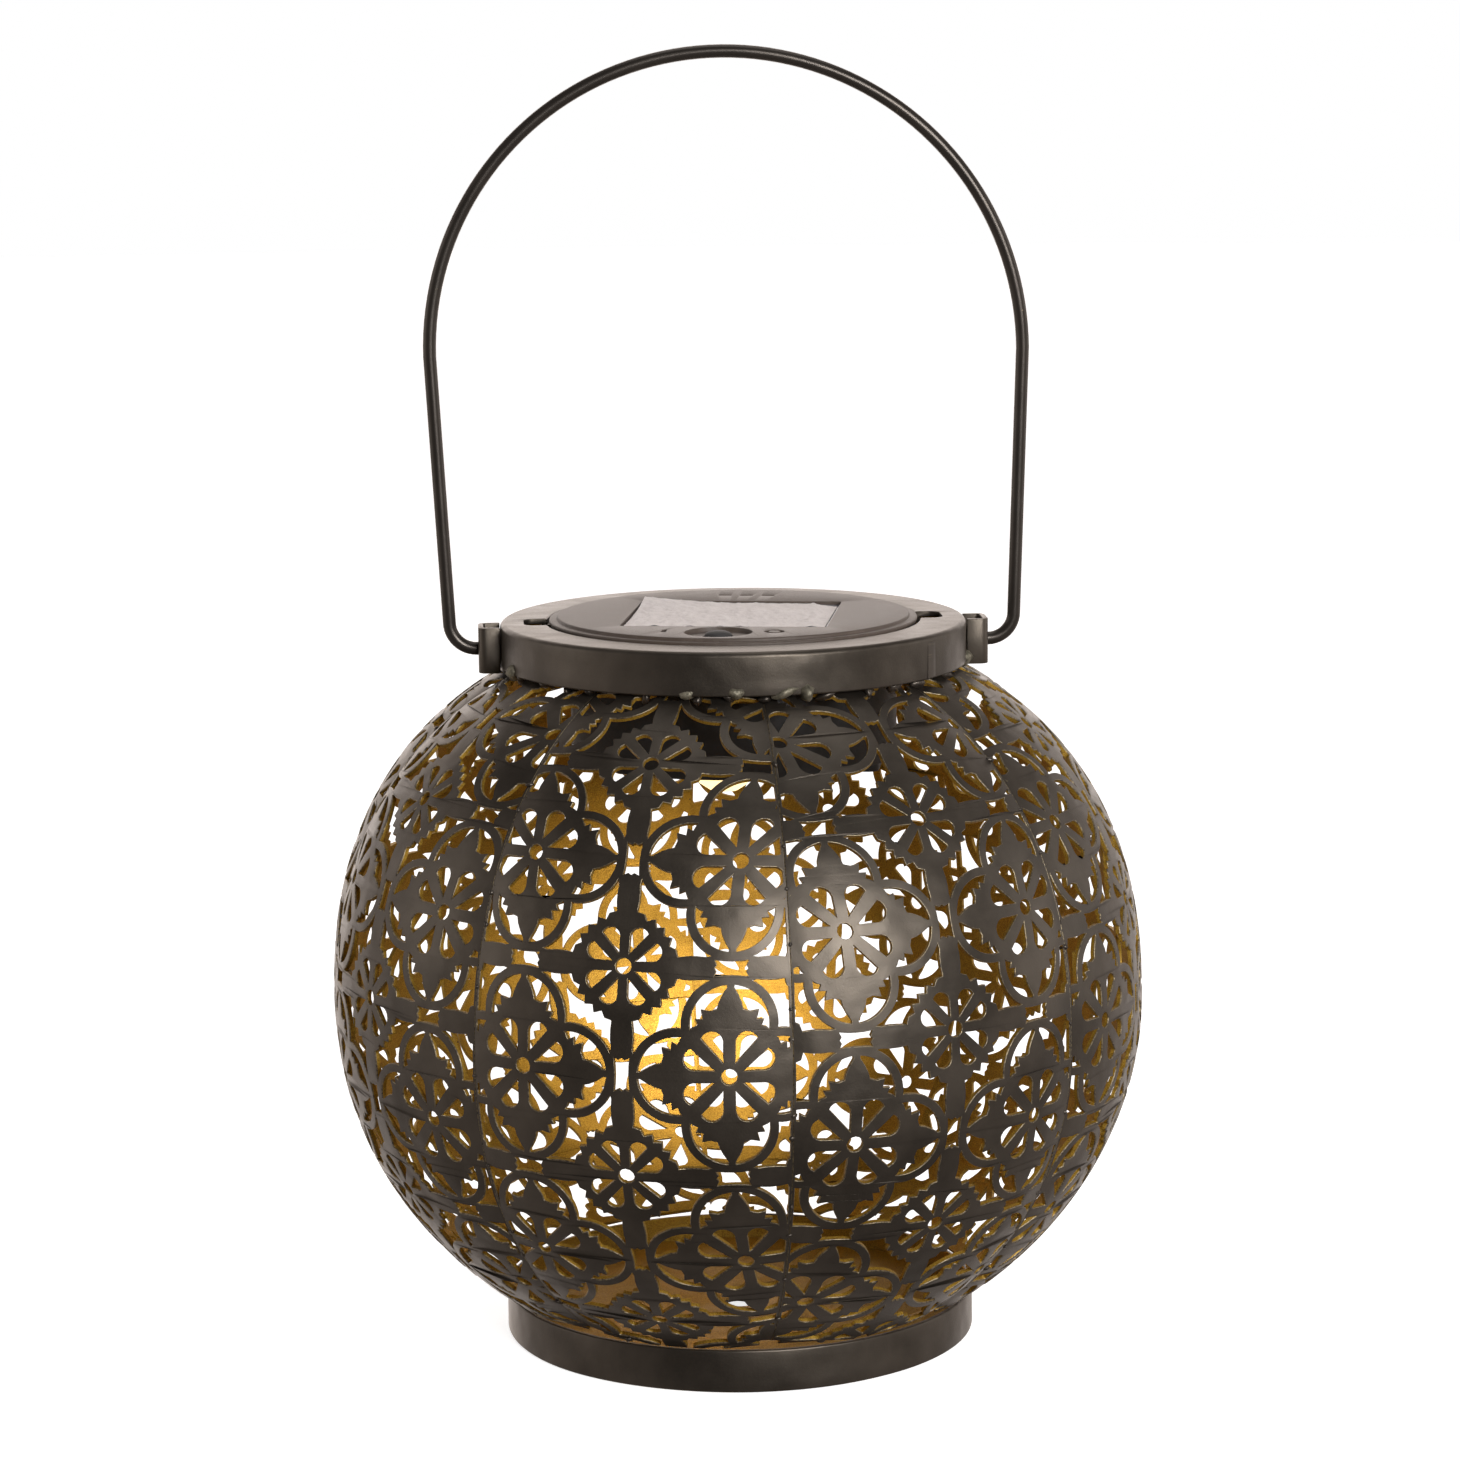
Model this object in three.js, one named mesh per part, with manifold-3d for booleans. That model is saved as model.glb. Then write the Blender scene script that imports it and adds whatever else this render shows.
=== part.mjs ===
// Hanging solar lantern: a globe of eight pierced steel gores between a collar and a base ring,
// a wire bail handle, and a solar lamp unit that drops into the collar and turns to lock.
// Millimetres, +Z up, origin at the middle of the base ring's lower edge, handle axis along X.
import * as THREE from "three";
import { mergeVertices } from "three/addons/utils/BufferGeometryUtils.js";
import Module from "manifold-3d";

const wasm = await Module();
wasm.setup();

// ---- Driving dimensions ---------------------------------------------------------------------

// Clearances between neighbouring pieces.
const GAP = 0.3; // between pieces that touch or are welded
const RUNNING_GAP = 0.6; // between pieces that slide or turn past each other
const SEAL_GAP = 0.05; // under and over flat seals and films

// Overall sizes: the globe's widest radius, its waist, the collar's top and the collar's mouth.
const GLOBE_RADIUS = 77.5;
const GLOBE_CENTRE_Z = 65.0;
const COLLAR_TOP_Z = 137.6;
const COLLAR_MOUTH_RADIUS = 32.0;

// Globe.
const UPPER_ROUNDNESS = 2.31; // exponent: 2 is a plain ellipse, more is squarer
const LOWER_ROUNDNESS = 1.956;
const SHEET = 0.8;
const GORE_COUNT = 8;
const FIRST_SEAM = THREE.MathUtils.degToRad(3.5); // from the front, towards +X
const TUCK_INTO_COLLAR = 1.6; // how far the gores reach up inside the collar's band
const TUCK_CLEARANCE = 1.6; // between the collar's band and the gores at its lower edge
const FOOT_INSET = 0.2; // the gores' lower edge stands this far inside the base ring's face

// Pierced pattern: medallions in two columns, flowers in the middle column.
const PATTERN_PITCH = 38.2;
const PETAL_INNER = 3.2; // from the medallion's centre to the petal's root
const PETAL_OUTER = 15.0;
const PETAL_HALF_WIDTH = 4.2;
const FLOWER_HOLE_RADIUS = 5.6;
const PIERCING_MARGIN = 1.6; // metal left between a hole and the gore's edge
const ODD_GORE_PHASE = 0.23; // shares of the pitch by which the pattern sits above the waist
const EVEN_GORE_PHASE = -0.42;

// Base.
const BASE_RING_RADIUS = 45.1;
const BASE_RING_HEIGHT = 8.1;
const BAND = 1.0; // thickness of the rolled bands and the lug strip
const BASE_PLATE_Z = 2.4;
const BASE_PLATE_THICKNESS = 1.0;
const DRAIN_HOLE_RADIUS = 3.0;

// Collar.
const COLLAR_HEIGHT = 8.1;
const COLLAR_EDGE_ROUND = 1.0;
const COLLAR_RIM_WIDTH = 8.7; // flat top between the lid's seat and the outer face
const SEAT_DEPTH = 1.2; // how far the lid's seat is sunk below the collar's top
const SEAT_WIDTH = 3.4;
const NOTCH_BEYOND_SEAT = 4.2;
const NOTCH_WIDTH = 8.8;

// Lugs and handle.
const LUG_STANDOFF = 4.1; // outer face of the lug, from the collar's face
const LUG_WIDTH = 8.0;
const LUG_TOP_BELOW_COLLAR = 0.5;
const LUG_ABOVE_GLOBE = 0.5;
const LUG_CORNER_ROUND = 1.6;
const WIRE_DIAMETER = 2.5;
const BAIL_BEND_RADIUS = 5.0;
const BAIL_FLARE = 2.1; // how much wider the arch is than the feet, each side
const BAIL_CENTRE_RISE = 55.1; // of the arch's centre above the pivot
const RIVET_HEAD_THICKNESS = 1.2;
const RIVET_HEAD_OVERLAP = 0.95; // head radius over the wire's radius

// Solar lamp unit.
const LID_TURN = THREE.MathUtils.degToRad(-10); // how the unit's graphics sit to the handle axis
const LID_ABOVE_COLLAR = 1.0;
const LID_STEP_WIDTH = 1.5; // from the flange's edge in to the lid's raised face
const LID_FLANGE_DROP = 0.6; // from the lid's top face to the flange's top face
const LID_PLATE_THICKNESS = 2.0;
const GASKET_THICKNESS = 0.7;
const GASKET_INSET = 0.4; // inner edge of the gasket, from the collar's mouth
const CELL_WIDTH = 38.0;
const CELL_DEPTH = 33.6;
const CELL_CENTRE_Y = -0.8;
const CELL_THICKNESS = 0.9;
const CELL_RECESS_DEPTH = 1.5;
const FILM_THICKNESS = 0.25;
const BUTTON_RECESS_RADIUS = 6.3;
const BUTTON_RECESS_DEPTH = 0.8;
const BUTTON_RIB = 1.0; // between the cell's recess and the button's recess
const BUTTON_RADIUS = 2.55;
const BUTTON_FLANGE_WIDTH = 1.15;
const BUTTON_FLANGE_THICKNESS = 0.8;
const BUTTON_DOME_RISE = 0.9;
const BUTTON_RISE = 0.3; // dome's top above the lid's face
const BUTTON_TRAVEL = 1.0;
const HOUSING_WALL = 1.4;
const TAB_CLEARANCE = 0.8; // between a tab's end and its notch
const TAB_SIDE_CLEARANCE = 0.6;
const TAB_THICKNESS = 1.3;
const BOARD_THICKNESS = 1.6;
const BOARD_DROP = 4.0; // from the housing's top to the board's top
const BOARD_ROOM = 0.9; // between the battery and the board's ledge
const LEDGE_HEIGHT = 1.3;
const LEDGE_WIDTH = 1.4;
const SWITCH_SIDE = 6.2;
const BATTERY_RADIUS = 7.25;
const BATTERY_LENGTH = 50.5;
const BATTERY_Y = 3.5;
const BATTERY_END_ROOM = 1.75; // past each end of the battery, for the contacts
const CONTACT_THICKNESS = 0.5;
const CONTACT_SIDE = 9.0;
const SPRING_WIRE = 0.5;
const LED_RADIUS = 2.5;
const LED_HEIGHT = 8.6;
const LED_ABOVE_LENS = 1.2;
const LENS_RADIUS = 5.7;
const LENS_WALL = 1.0;
const LENS_LIP = 1.4;
const LENS_DROP = 4.5; // dome below the housing's floor
const COVER_THICKNESS = 1.5;
const COVER_OVERLAP = 1.2; // of the cover past the battery bay, on three sides
const SCREW_X = 20.0;
const SCREW_RADIUS = 1.0;
const SCREW_HEAD_RADIUS = 2.2;
const SCREW_HEAD_HEIGHT = 1.2;
const SCREW_LENGTH = 6.0;
const SCREW_BOSS_RADIUS = 3.0;

// Smoothness.
const ROUND_STEPS = 40;
const SMALL_STEPS = 14;
const TINY_STEPS = 10;

// ---- Sizes worked out from the ones above ---------------------------------------------------

const SEAT_RADIUS = COLLAR_MOUTH_RADIUS + SEAT_WIDTH;
const COLLAR_RADIUS = SEAT_RADIUS + COLLAR_RIM_WIDTH;
const COLLAR_LOW_Z = COLLAR_TOP_Z - COLLAR_HEIGHT;
const NOTCH_REACH = SEAT_RADIUS + NOTCH_BEYOND_SEAT;
const LUG_REACH = COLLAR_RADIUS + LUG_STANDOFF;
const BAIL_FOOT_REACH = LUG_REACH + GAP + BAIL_BEND_RADIUS;
const BAIL_RADIUS = BAIL_FOOT_REACH + BAIL_FLARE;
const RIVET_HEAD_RADIUS = WIRE_DIAMETER / 2 + RIVET_HEAD_OVERLAP;

const LID_TOP_Z = COLLAR_TOP_Z + LID_ABOVE_COLLAR;
const LID_FLANGE_RADIUS = SEAT_RADIUS - RUNNING_GAP;
const LID_RADIUS = LID_FLANGE_RADIUS - LID_STEP_WIDTH;
const SEAT_TOP_Z = COLLAR_TOP_Z - SEAT_DEPTH;
const GASKET_INNER_RADIUS = COLLAR_MOUTH_RADIUS + GASKET_INSET;
const GASKET_BOTTOM_Z = SEAT_TOP_Z + SEAL_GAP;
const FLANGE_BOTTOM_Z = GASKET_BOTTOM_Z + GASKET_THICKNESS + SEAL_GAP;
const LID_BOTTOM_Z = LID_TOP_Z - LID_PLATE_THICKNESS;
const CELL_RECESS_WIDTH = CELL_WIDTH + 2 * GAP;
const CELL_RECESS_LENGTH = CELL_DEPTH + 2 * GAP;
const BUTTON_Y = CELL_CENTRE_Y - CELL_RECESS_LENGTH / 2 - BUTTON_RIB - BUTTON_RECESS_RADIUS;
const BUTTON_FLANGE_TOP_Z = LID_BOTTOM_Z - GAP;
const BUTTON_FLANGE_LOW_Z = BUTTON_FLANGE_TOP_Z - BUTTON_FLANGE_THICKNESS;

const HOUSING_RADIUS = COLLAR_MOUTH_RADIUS - RUNNING_GAP - BAND / 2;
const HOUSING_INSIDE = HOUSING_RADIUS - HOUSING_WALL;
const HOUSING_TOP_Z = LID_BOTTOM_Z - GAP;
const BOARD_TOP_Z = HOUSING_TOP_Z - BOARD_DROP;
const BOARD_BOTTOM_Z = BOARD_TOP_Z - BOARD_THICKNESS;
const LEDGE_TOP_Z = BOARD_BOTTOM_Z - GAP;
const LEDGE_LOW_Z = LEDGE_TOP_Z - LEDGE_HEIGHT;
const BATTERY_Z = LEDGE_LOW_Z - BOARD_ROOM - BATTERY_RADIUS;
const HOUSING_FLOOR_Z = BATTERY_Z - BATTERY_RADIUS - GAP;
const HOUSING_BOTTOM_Z = HOUSING_FLOOR_Z - HOUSING_WALL;
const TAB_TOP_Z = SEAT_TOP_Z - BAND - RUNNING_GAP;
const BAY_HALF_LENGTH = BATTERY_LENGTH / 2 + BATTERY_END_ROOM;
const BAY_HALF_WIDTH = BATTERY_RADIUS + GAP;
const SCREW_Y = BATTERY_Y - BAY_HALF_WIDTH - SCREW_BOSS_RADIUS - GAP;
const COVER_TOP_Z = HOUSING_BOTTOM_Z - GAP;
const COVER_LOW_Z = COVER_TOP_Z - COVER_THICKNESS;
const COVER_BACK_Y = BATTERY_Y + BAY_HALF_WIDTH + COVER_OVERLAP;
const COVER_FRONT_Y = SCREW_Y - SCREW_BOSS_RADIUS - COVER_OVERLAP / 2;
const LED_Y = COVER_FRONT_Y - LENS_RADIUS - LENS_LIP;

// ---- Geometry helpers -----------------------------------------------------------------------

// A closed mesh as a solid that can be cut and joined.
function solid(geometry) {
  const bare = geometry.clone();
  bare.deleteAttribute("normal");
  bare.deleteAttribute("uv");
  const merged = mergeVertices(bare, 1e-4);
  return new wasm.Manifold(
    new wasm.Mesh({
      numProp: 3,
      vertProperties: merged.attributes.position.array,
      triVerts: new Uint32Array(merged.index.array),
    }),
  );
}

// The solid's surface as geometry that three.js draws.
function surface(body) {
  const { vertProperties, triVerts } = body.getMesh();
  const geometry = new THREE.BufferGeometry();
  geometry.setAttribute("position", new THREE.BufferAttribute(vertProperties, 3));
  geometry.setIndex(new THREE.BufferAttribute(triVerts, 1));
  geometry.computeVertexNormals();
  return geometry;
}

// A body of revolution about Z from (radius, height) pairs, listed counter-clockwise.
function revolve(pairs, steps = ROUND_STEPS) {
  const profile = pairs.map(([radius, height]) => new THREE.Vector2(radius, height));
  return solid(new THREE.LatheGeometry(profile, steps).rotateX(Math.PI / 2));
}

function disc(radius, low, high, steps = ROUND_STEPS) {
  return revolve([[0, low], [radius, low], [radius, high], [0, high]], steps);
}

function ring(inner, outer, low, high, steps = ROUND_STEPS) {
  return revolve([[inner, low], [outer, low], [outer, high], [inner, high], [inner, low]], steps);
}

function block(lowX, highX, lowY, highY, lowZ, highZ) {
  const box = new THREE.BoxGeometry(highX - lowX, highY - lowY, highZ - lowZ);
  return solid(box.translate((lowX + highX) / 2, (lowY + highY) / 2, (lowZ + highZ) / 2));
}

// A plate of the given outline with rounded corners, centred on (x, y).
function roundedPlate(width, depth, corner, low, high, x = 0, y = 0) {
  const shape = new THREE.Shape();
  const [right, back] = [width / 2, depth / 2];
  shape.absarc(right - corner, back - corner, corner, 0, Math.PI / 2);
  shape.absarc(corner - right, back - corner, corner, Math.PI / 2, Math.PI);
  shape.absarc(corner - right, corner - back, corner, Math.PI, 1.5 * Math.PI);
  shape.absarc(right - corner, corner - back, corner, 1.5 * Math.PI, 2 * Math.PI);
  const options = { depth: high - low, bevelEnabled: false, curveSegments: 4 };
  return solid(new THREE.ExtrudeGeometry(shape, options).translate(x, y, low));
}

function at(body, x, y, z = 0) {
  return body.translate([x, y, z]);
}

// ---- Globe profile --------------------------------------------------------------------------

const GORE_LOW_Z = BASE_RING_HEIGHT + GAP;
const GORE_HIGH_Z = COLLAR_LOW_Z + TUCK_INTO_COLLAR;

// Height over the waist at which a curve through (radius, rise) would close on the axis.
function closingHeight(radius, rise, roundness) {
  return rise / (1 - (radius / GLOBE_RADIUS) ** roundness) ** (1 / roundness);
}

const UPPER_HEIGHT = closingHeight(
  COLLAR_RADIUS - BAND - TUCK_CLEARANCE,
  COLLAR_LOW_Z - GLOBE_CENTRE_Z,
  UPPER_ROUNDNESS,
);
const LOWER_HEIGHT = closingHeight(
  BASE_RING_RADIUS - FOOT_INSET,
  GLOBE_CENTRE_Z - GORE_LOW_Z,
  LOWER_ROUNDNESS,
);

function globeRadius(z) {
  const rise = z - GLOBE_CENTRE_Z;
  const height = rise > 0 ? UPPER_HEIGHT : LOWER_HEIGHT;
  const roundness = rise > 0 ? UPPER_ROUNDNESS : LOWER_ROUNDNESS;
  return GLOBE_RADIUS * (1 - Math.abs(rise / height) ** roundness) ** (1 / roundness);
}

// Height at which the upper half of the globe has this radius.
function upperHeightAt(radius) {
  const share = 1 - (radius / GLOBE_RADIUS) ** UPPER_ROUNDNESS;
  return GLOBE_CENTRE_Z + UPPER_HEIGHT * share ** (1 / UPPER_ROUNDNESS);
}

// The lugs reach from just above the globe to just below the collar's top.
const LUG_TOP_Z = COLLAR_TOP_Z - LUG_TOP_BELOW_COLLAR;
const LUG_LOW_Z = upperHeightAt(COLLAR_RADIUS + GAP) + LUG_ABOVE_GLOBE;
const PIVOT_Z = (LUG_TOP_Z + LUG_LOW_Z) / 2;

// The outer profile from the lower edge to the upper one, as points evenly spaced along it.
class GlobeProfile extends THREE.Curve {
  getPoint(t, target = new THREE.Vector2()) {
    const z = THREE.MathUtils.lerp(GORE_LOW_Z, GORE_HIGH_Z, t);
    return target.set(globeRadius(z), z);
  }
}

const profile = new GlobeProfile();
profile.arcLengthDivisions = 400;
const PROFILE_LENGTH = profile.getLength();

// Share of the profile's length at which the globe is widest.
const WAIST = profile.getLengths()[
  Math.round(
    (profile.arcLengthDivisions * (GLOBE_CENTRE_Z - GORE_LOW_Z)) / (GORE_HIGH_Z - GORE_LOW_Z),
  )
];

// Point, outward normal and upward tangent at a longitude and a share of the profile's length.
function onGlobe(longitude, share) {
  const { x: radius, y: height } = profile.getPointAt(share);
  const { x: outwards, y: upwards } = profile.getTangentAt(share);
  const [east, north] = [Math.sin(longitude), -Math.cos(longitude)];
  return {
    radius,
    point: new THREE.Vector3(radius * east, radius * north, height),
    normal: new THREE.Vector3(upwards * east, upwards * north, -outwards),
    tangent: new THREE.Vector3(outwards * east, outwards * north, upwards),
  };
}

// ---- Globe gores ----------------------------------------------------------------------------

const GORE_ROWS = 10;
const GORE_COLUMNS = 4;
const HALF_GORE = Math.PI / GORE_COUNT;

// The unpierced gore: an outer and an inner sheet joined by a rim of four edges.
function plainGore(middle) {
  const positions = [];
  const indices = [];
  for (const depth of [0, SHEET])
    for (let row = 0; row <= GORE_ROWS; row++)
      for (let column = 0; column <= GORE_COLUMNS; column++) {
        const share = row / GORE_ROWS;
        const half = HALF_GORE - GAP / 2 / profile.getPointAt(share).x;
        const longitude = middle + half * ((2 * column) / GORE_COLUMNS - 1);
        const { point, normal } = onGlobe(longitude, share);
        positions.push(...point.addScaledVector(normal, -depth).toArray());
      }
  const layer = (GORE_ROWS + 1) * (GORE_COLUMNS + 1);
  const index = (side, row, column) => side * layer + row * (GORE_COLUMNS + 1) + column;
  const quad = (a, b, c, d) => indices.push(a, b, c, a, c, d);
  for (let row = 0; row < GORE_ROWS; row++) {
    for (let column = 0; column < GORE_COLUMNS; column++)
      for (const side of [0, 1]) {
        const [near, far] = side ? [column + 1, column] : [column, column + 1];
        quad(
          index(side, row, near),
          index(side, row, far),
          index(side, row + 1, far),
          index(side, row + 1, near),
        );
      }
    quad(index(1, row, 0), index(0, row, 0), index(0, row + 1, 0), index(1, row + 1, 0));
    const last = GORE_COLUMNS;
    quad(
      index(0, row, last),
      index(1, row, last),
      index(1, row + 1, last),
      index(0, row + 1, last),
    );
  }
  for (let column = 0; column < GORE_COLUMNS; column++) {
    const next = column + 1;
    quad(index(1, 0, column), index(1, 0, next), index(0, 0, next), index(0, 0, column));
    quad(
      index(0, GORE_ROWS, column),
      index(0, GORE_ROWS, next),
      index(1, GORE_ROWS, next),
      index(1, GORE_ROWS, column),
    );
  }
  const geometry = new THREE.BufferGeometry();
  geometry.setAttribute("position", new THREE.Float32BufferAttribute(positions, 3));
  geometry.setIndex(indices);
  return solid(geometry);
}

// One petal of a medallion: a kite that points away from the medallion's centre.
function petal(angle) {
  const shoulder = (PETAL_INNER + PETAL_OUTER) / 2;
  const corners = [
    [PETAL_INNER, 0],
    [shoulder, -PETAL_HALF_WIDTH],
    [PETAL_OUTER, 0],
    [shoulder, PETAL_HALF_WIDTH],
  ];
  const turned = corners.map(([x, y]) => new THREE.Vector2(x, y).rotateAround({ x: 0, y: 0 }, angle));
  return { outline: turned, reach: Math.max(...turned.map((corner) => Math.abs(corner.x))) };
}

function flowerHole() {
  const sides = 6;
  const outline = Array.from({ length: sides }, (_, side) =>
    new THREE.Vector2(FLOWER_HOLE_RADIUS, 0).rotateAround({ x: 0, y: 0 }, (2 * Math.PI * side) / sides),
  );
  return { outline, reach: FLOWER_HOLE_RADIUS };
}

const PETAL_ANGLES = [0.25, 0.75, 1.25, 1.75].map((turn) => turn * Math.PI);

// Every hole of one gore: its outline, how far it is from the gore's middle line, and its height.
function pierceList(phase) {
  const holes = [];
  const rows = Math.ceil(PROFILE_LENGTH / PATTERN_PITCH) + 1;
  for (let row = -rows; row <= rows; row++) {
    const flowerRise = WAIST + phase + row * PATTERN_PITCH;
    holes.push({ ...flowerHole(), across: 0, rise: flowerRise });
    const medallionRise = flowerRise + PATTERN_PITCH / 2;
    for (const side of [-0.5, 0.5])
      for (const angle of PETAL_ANGLES)
        holes.push({ ...petal(angle), across: side * PATTERN_PITCH, rise: medallionRise });
  }
  return holes;
}

// The hole's points keep this far from all four edges of the gore.
function fitsGore({ outline, across, rise }) {
  return outline.every(({ x, y }) => {
    const along = rise + y;
    if (along < PIERCING_MARGIN + SHEET || along > PROFILE_LENGTH - PIERCING_MARGIN - SHEET) return false;
    const { x: radius } = profile.getPointAt(along / PROFILE_LENGTH);
    return Math.abs(across + x) + PIERCING_MARGIN + GAP < HALF_GORE * radius;
  });
}

function piercedGore(number) {
  const middle = FIRST_SEAM + (number - 0.5) * 2 * HALF_GORE;
  const phase = (number % 2 ? ODD_GORE_PHASE : EVEN_GORE_PHASE) * PATTERN_PITCH;
  let gore = plainGore(middle);
  for (const hole of pierceList(phase).filter(fitsGore)) {
    const share = hole.rise / PROFILE_LENGTH;
    const { x: radius } = profile.getPointAt(Math.min(Math.max(share, 0), 1));
    const { point, normal, tangent } = onGlobe(middle + hole.across / radius, share);
    const east = new THREE.Vector3().crossVectors(tangent, normal);
    const depth = 12 * SHEET;
    const cutter = new THREE.ExtrudeGeometry(new THREE.Shape(hole.outline), {
      depth,
      bevelEnabled: false,
    });
    cutter.translate(0, 0, -depth / 2);
    cutter.applyMatrix4(new THREE.Matrix4().makeBasis(east, tangent, normal).setPosition(point));
    gore = gore.subtract(solid(cutter));
  }
  return gore;
}

// ---- Base and collar ------------------------------------------------------------------------

function baseRing() {
  return ring(BASE_RING_RADIUS - BAND, BASE_RING_RADIUS, 0, BASE_RING_HEIGHT);
}

function basePlate() {
  const top = BASE_PLATE_Z + BASE_PLATE_THICKNESS;
  return ring(DRAIN_HOLE_RADIUS, BASE_RING_RADIUS - BAND - GAP, BASE_PLATE_Z, top);
}

// Rolled band with a turned-in top, a sunk seat for the lid, and two notches for the lid's tabs.
function collarRing() {
  const [low, top] = [COLLAR_LOW_Z, COLLAR_TOP_Z];
  const round = COLLAR_EDGE_ROUND;
  const slope = round * Math.SQRT1_2;
  const band = revolve([
    [COLLAR_MOUTH_RADIUS, SEAT_TOP_Z - BAND],
    [SEAT_RADIUS + BAND, SEAT_TOP_Z - BAND],
    [SEAT_RADIUS + BAND, top - BAND],
    [COLLAR_RADIUS - BAND, top - BAND],
    [COLLAR_RADIUS - BAND, low],
    [COLLAR_RADIUS, low],
    [COLLAR_RADIUS, top - round],
    [COLLAR_RADIUS - round + slope, top - round + slope],
    [COLLAR_RADIUS - round, top],
    [SEAT_RADIUS, top],
    [SEAT_RADIUS, SEAT_TOP_Z],
    [COLLAR_MOUTH_RADIUS, SEAT_TOP_Z],
    [COLLAR_MOUTH_RADIUS, SEAT_TOP_Z - BAND],
  ]);
  const notches = roundedPlate(2 * NOTCH_REACH, NOTCH_WIDTH, 2, low + BAND, top + BAND);
  const keepWall = disc(NOTCH_REACH + BAND, low - BAND, top + 2 * BAND);
  return band.subtract(notches.intersect(keepWall));
}

// U-shaped strip welded to the collar, with a hole for the handle's end.
function lug(side) {
  const [low, top] = [LUG_LOW_Z, LUG_TOP_Z];
  const inner = COLLAR_RADIUS - BAND;
  const outside = roundedPlate(2 * LUG_REACH, LUG_WIDTH, LUG_CORNER_ROUND, low, top);
  const corner = LUG_CORNER_ROUND - BAND;
  const pocket = roundedPlate(
    2 * (LUG_REACH - BAND),
    LUG_WIDTH - 2 * BAND,
    corner,
    low - BAND,
    top + BAND,
  );
  const half = block(inner, LUG_REACH + BAND, -LUG_WIDTH, LUG_WIDTH, low - BAND, top + BAND);
  const collarSpace = disc(COLLAR_RADIUS + GAP, low - BAND, top + BAND);
  const pin = disc(WIRE_DIAMETER / 2 + GAP, -LUG_REACH - BAND, LUG_REACH + BAND, SMALL_STEPS);
  const pinHole = pin.rotate([0, 90, 0]);
  const strip = outside.subtract(pocket).intersect(half).subtract(collarSpace);
  const right = strip.subtract(at(pinHole, 0, 0, PIVOT_Z));
  return side > 0 ? right : right.rotate([0, 0, 180]);
}

// ---- Handle ---------------------------------------------------------------------------------

// Centreline of the wire, as stations that are close together in the bends.
class BailPath extends THREE.Curve {
  constructor() {
    super();
    const pivot = PIVOT_Z;
    const bend = BAIL_BEND_RADIUS;
    const half = [];
    const innerEnd = LUG_REACH - BAND - GAP - RIVET_HEAD_THICKNESS;
    half.push([innerEnd, pivot]);
    for (let step = 0; step <= 6; step++) {
      const angle = ((step / 6) * Math.PI) / 2;
      const reach = BAIL_FOOT_REACH - bend + bend * Math.sin(angle);
      half.push([reach, pivot + bend - bend * Math.cos(angle)]);
    }
    for (let step = 0; step <= 18; step++) {
      const angle = ((step / 18) * Math.PI) / 2;
      const height = pivot + BAIL_CENTRE_RISE + BAIL_RADIUS * Math.sin(angle);
      half.push([BAIL_RADIUS * Math.cos(angle), height]);
    }
    const mirrored = half.slice(0, -1).map(([x, z]) => [-x, z]);
    this.stations = [...half, ...mirrored.reverse()].map(([x, z]) => new THREE.Vector3(x, 0, z));
  }
  getPoint(t, target = new THREE.Vector3()) {
    const place = t * (this.stations.length - 1);
    const index = Math.min(Math.floor(place), this.stations.length - 2);
    return target.lerpVectors(this.stations[index], this.stations[index + 1], place - index);
  }
  getSpacedPoints(count) {
    return this.getPoints(count);
  }
  getTangentAt(t, target) {
    return this.getTangent(t, target);
  }
}

function handleBail() {
  const path = new BailPath();
  const section = new THREE.Shape().absarc(0, 0, WIRE_DIAMETER / 2, 0, 2 * Math.PI);
  const wire = new THREE.ExtrudeGeometry(section, {
    steps: path.stations.length - 1,
    curveSegments: 4,
    extrudePath: path,
  });
  const headStart = path.stations[0].x - GAP / 2;
  const head = disc(RIVET_HEAD_RADIUS, headStart, headStart + RIVET_HEAD_THICKNESS, SMALL_STEPS);
  const rightHead = at(head.rotate([0, 90, 0]), 0, 0, PIVOT_Z);
  return solid(wire).add(rightHead).add(rightHead.rotate([0, 0, 180]));
}

// ---- Solar lamp unit ------------------------------------------------------------------------

function lidGasket() {
  const outer = LID_FLANGE_RADIUS - GAP;
  return ring(GASKET_INNER_RADIUS, outer, GASKET_BOTTOM_Z, GASKET_BOTTOM_Z + GASKET_THICKNESS);
}

// Stepped round plate with a square recess for the cell and a round one for the button.
function lidCover() {
  const flangeTop = LID_TOP_Z - LID_FLANGE_DROP;
  const plate = revolve([
    [0, LID_BOTTOM_Z],
    [GASKET_INNER_RADIUS - GAP, LID_BOTTOM_Z],
    [GASKET_INNER_RADIUS - GAP, FLANGE_BOTTOM_Z],
    [LID_FLANGE_RADIUS, FLANGE_BOTTOM_Z],
    [LID_FLANGE_RADIUS, flangeTop],
    [LID_RADIUS, flangeTop],
    [LID_RADIUS, LID_TOP_Z],
    [0, LID_TOP_Z],
  ]);
  const above = LID_TOP_Z + BAND;
  const cellRecess = roundedPlate(
    CELL_RECESS_WIDTH,
    CELL_RECESS_LENGTH,
    0.5,
    LID_TOP_Z - CELL_RECESS_DEPTH,
    above,
    0,
    CELL_CENTRE_Y,
  );
  const recess = disc(BUTTON_RECESS_RADIUS, LID_TOP_Z - BUTTON_RECESS_DEPTH, above, SMALL_STEPS);
  const bore = disc(BUTTON_RADIUS + GAP, LID_BOTTOM_Z - BAND, above, SMALL_STEPS);
  return plate.subtract(cellRecess).subtract(at(recess.add(bore), 0, BUTTON_Y));
}

function solarCell() {
  const low = LID_TOP_Z - CELL_RECESS_DEPTH;
  return roundedPlate(CELL_WIDTH, CELL_DEPTH, 0.3, low, low + CELL_THICKNESS, 0, CELL_CENTRE_Y);
}

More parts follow.
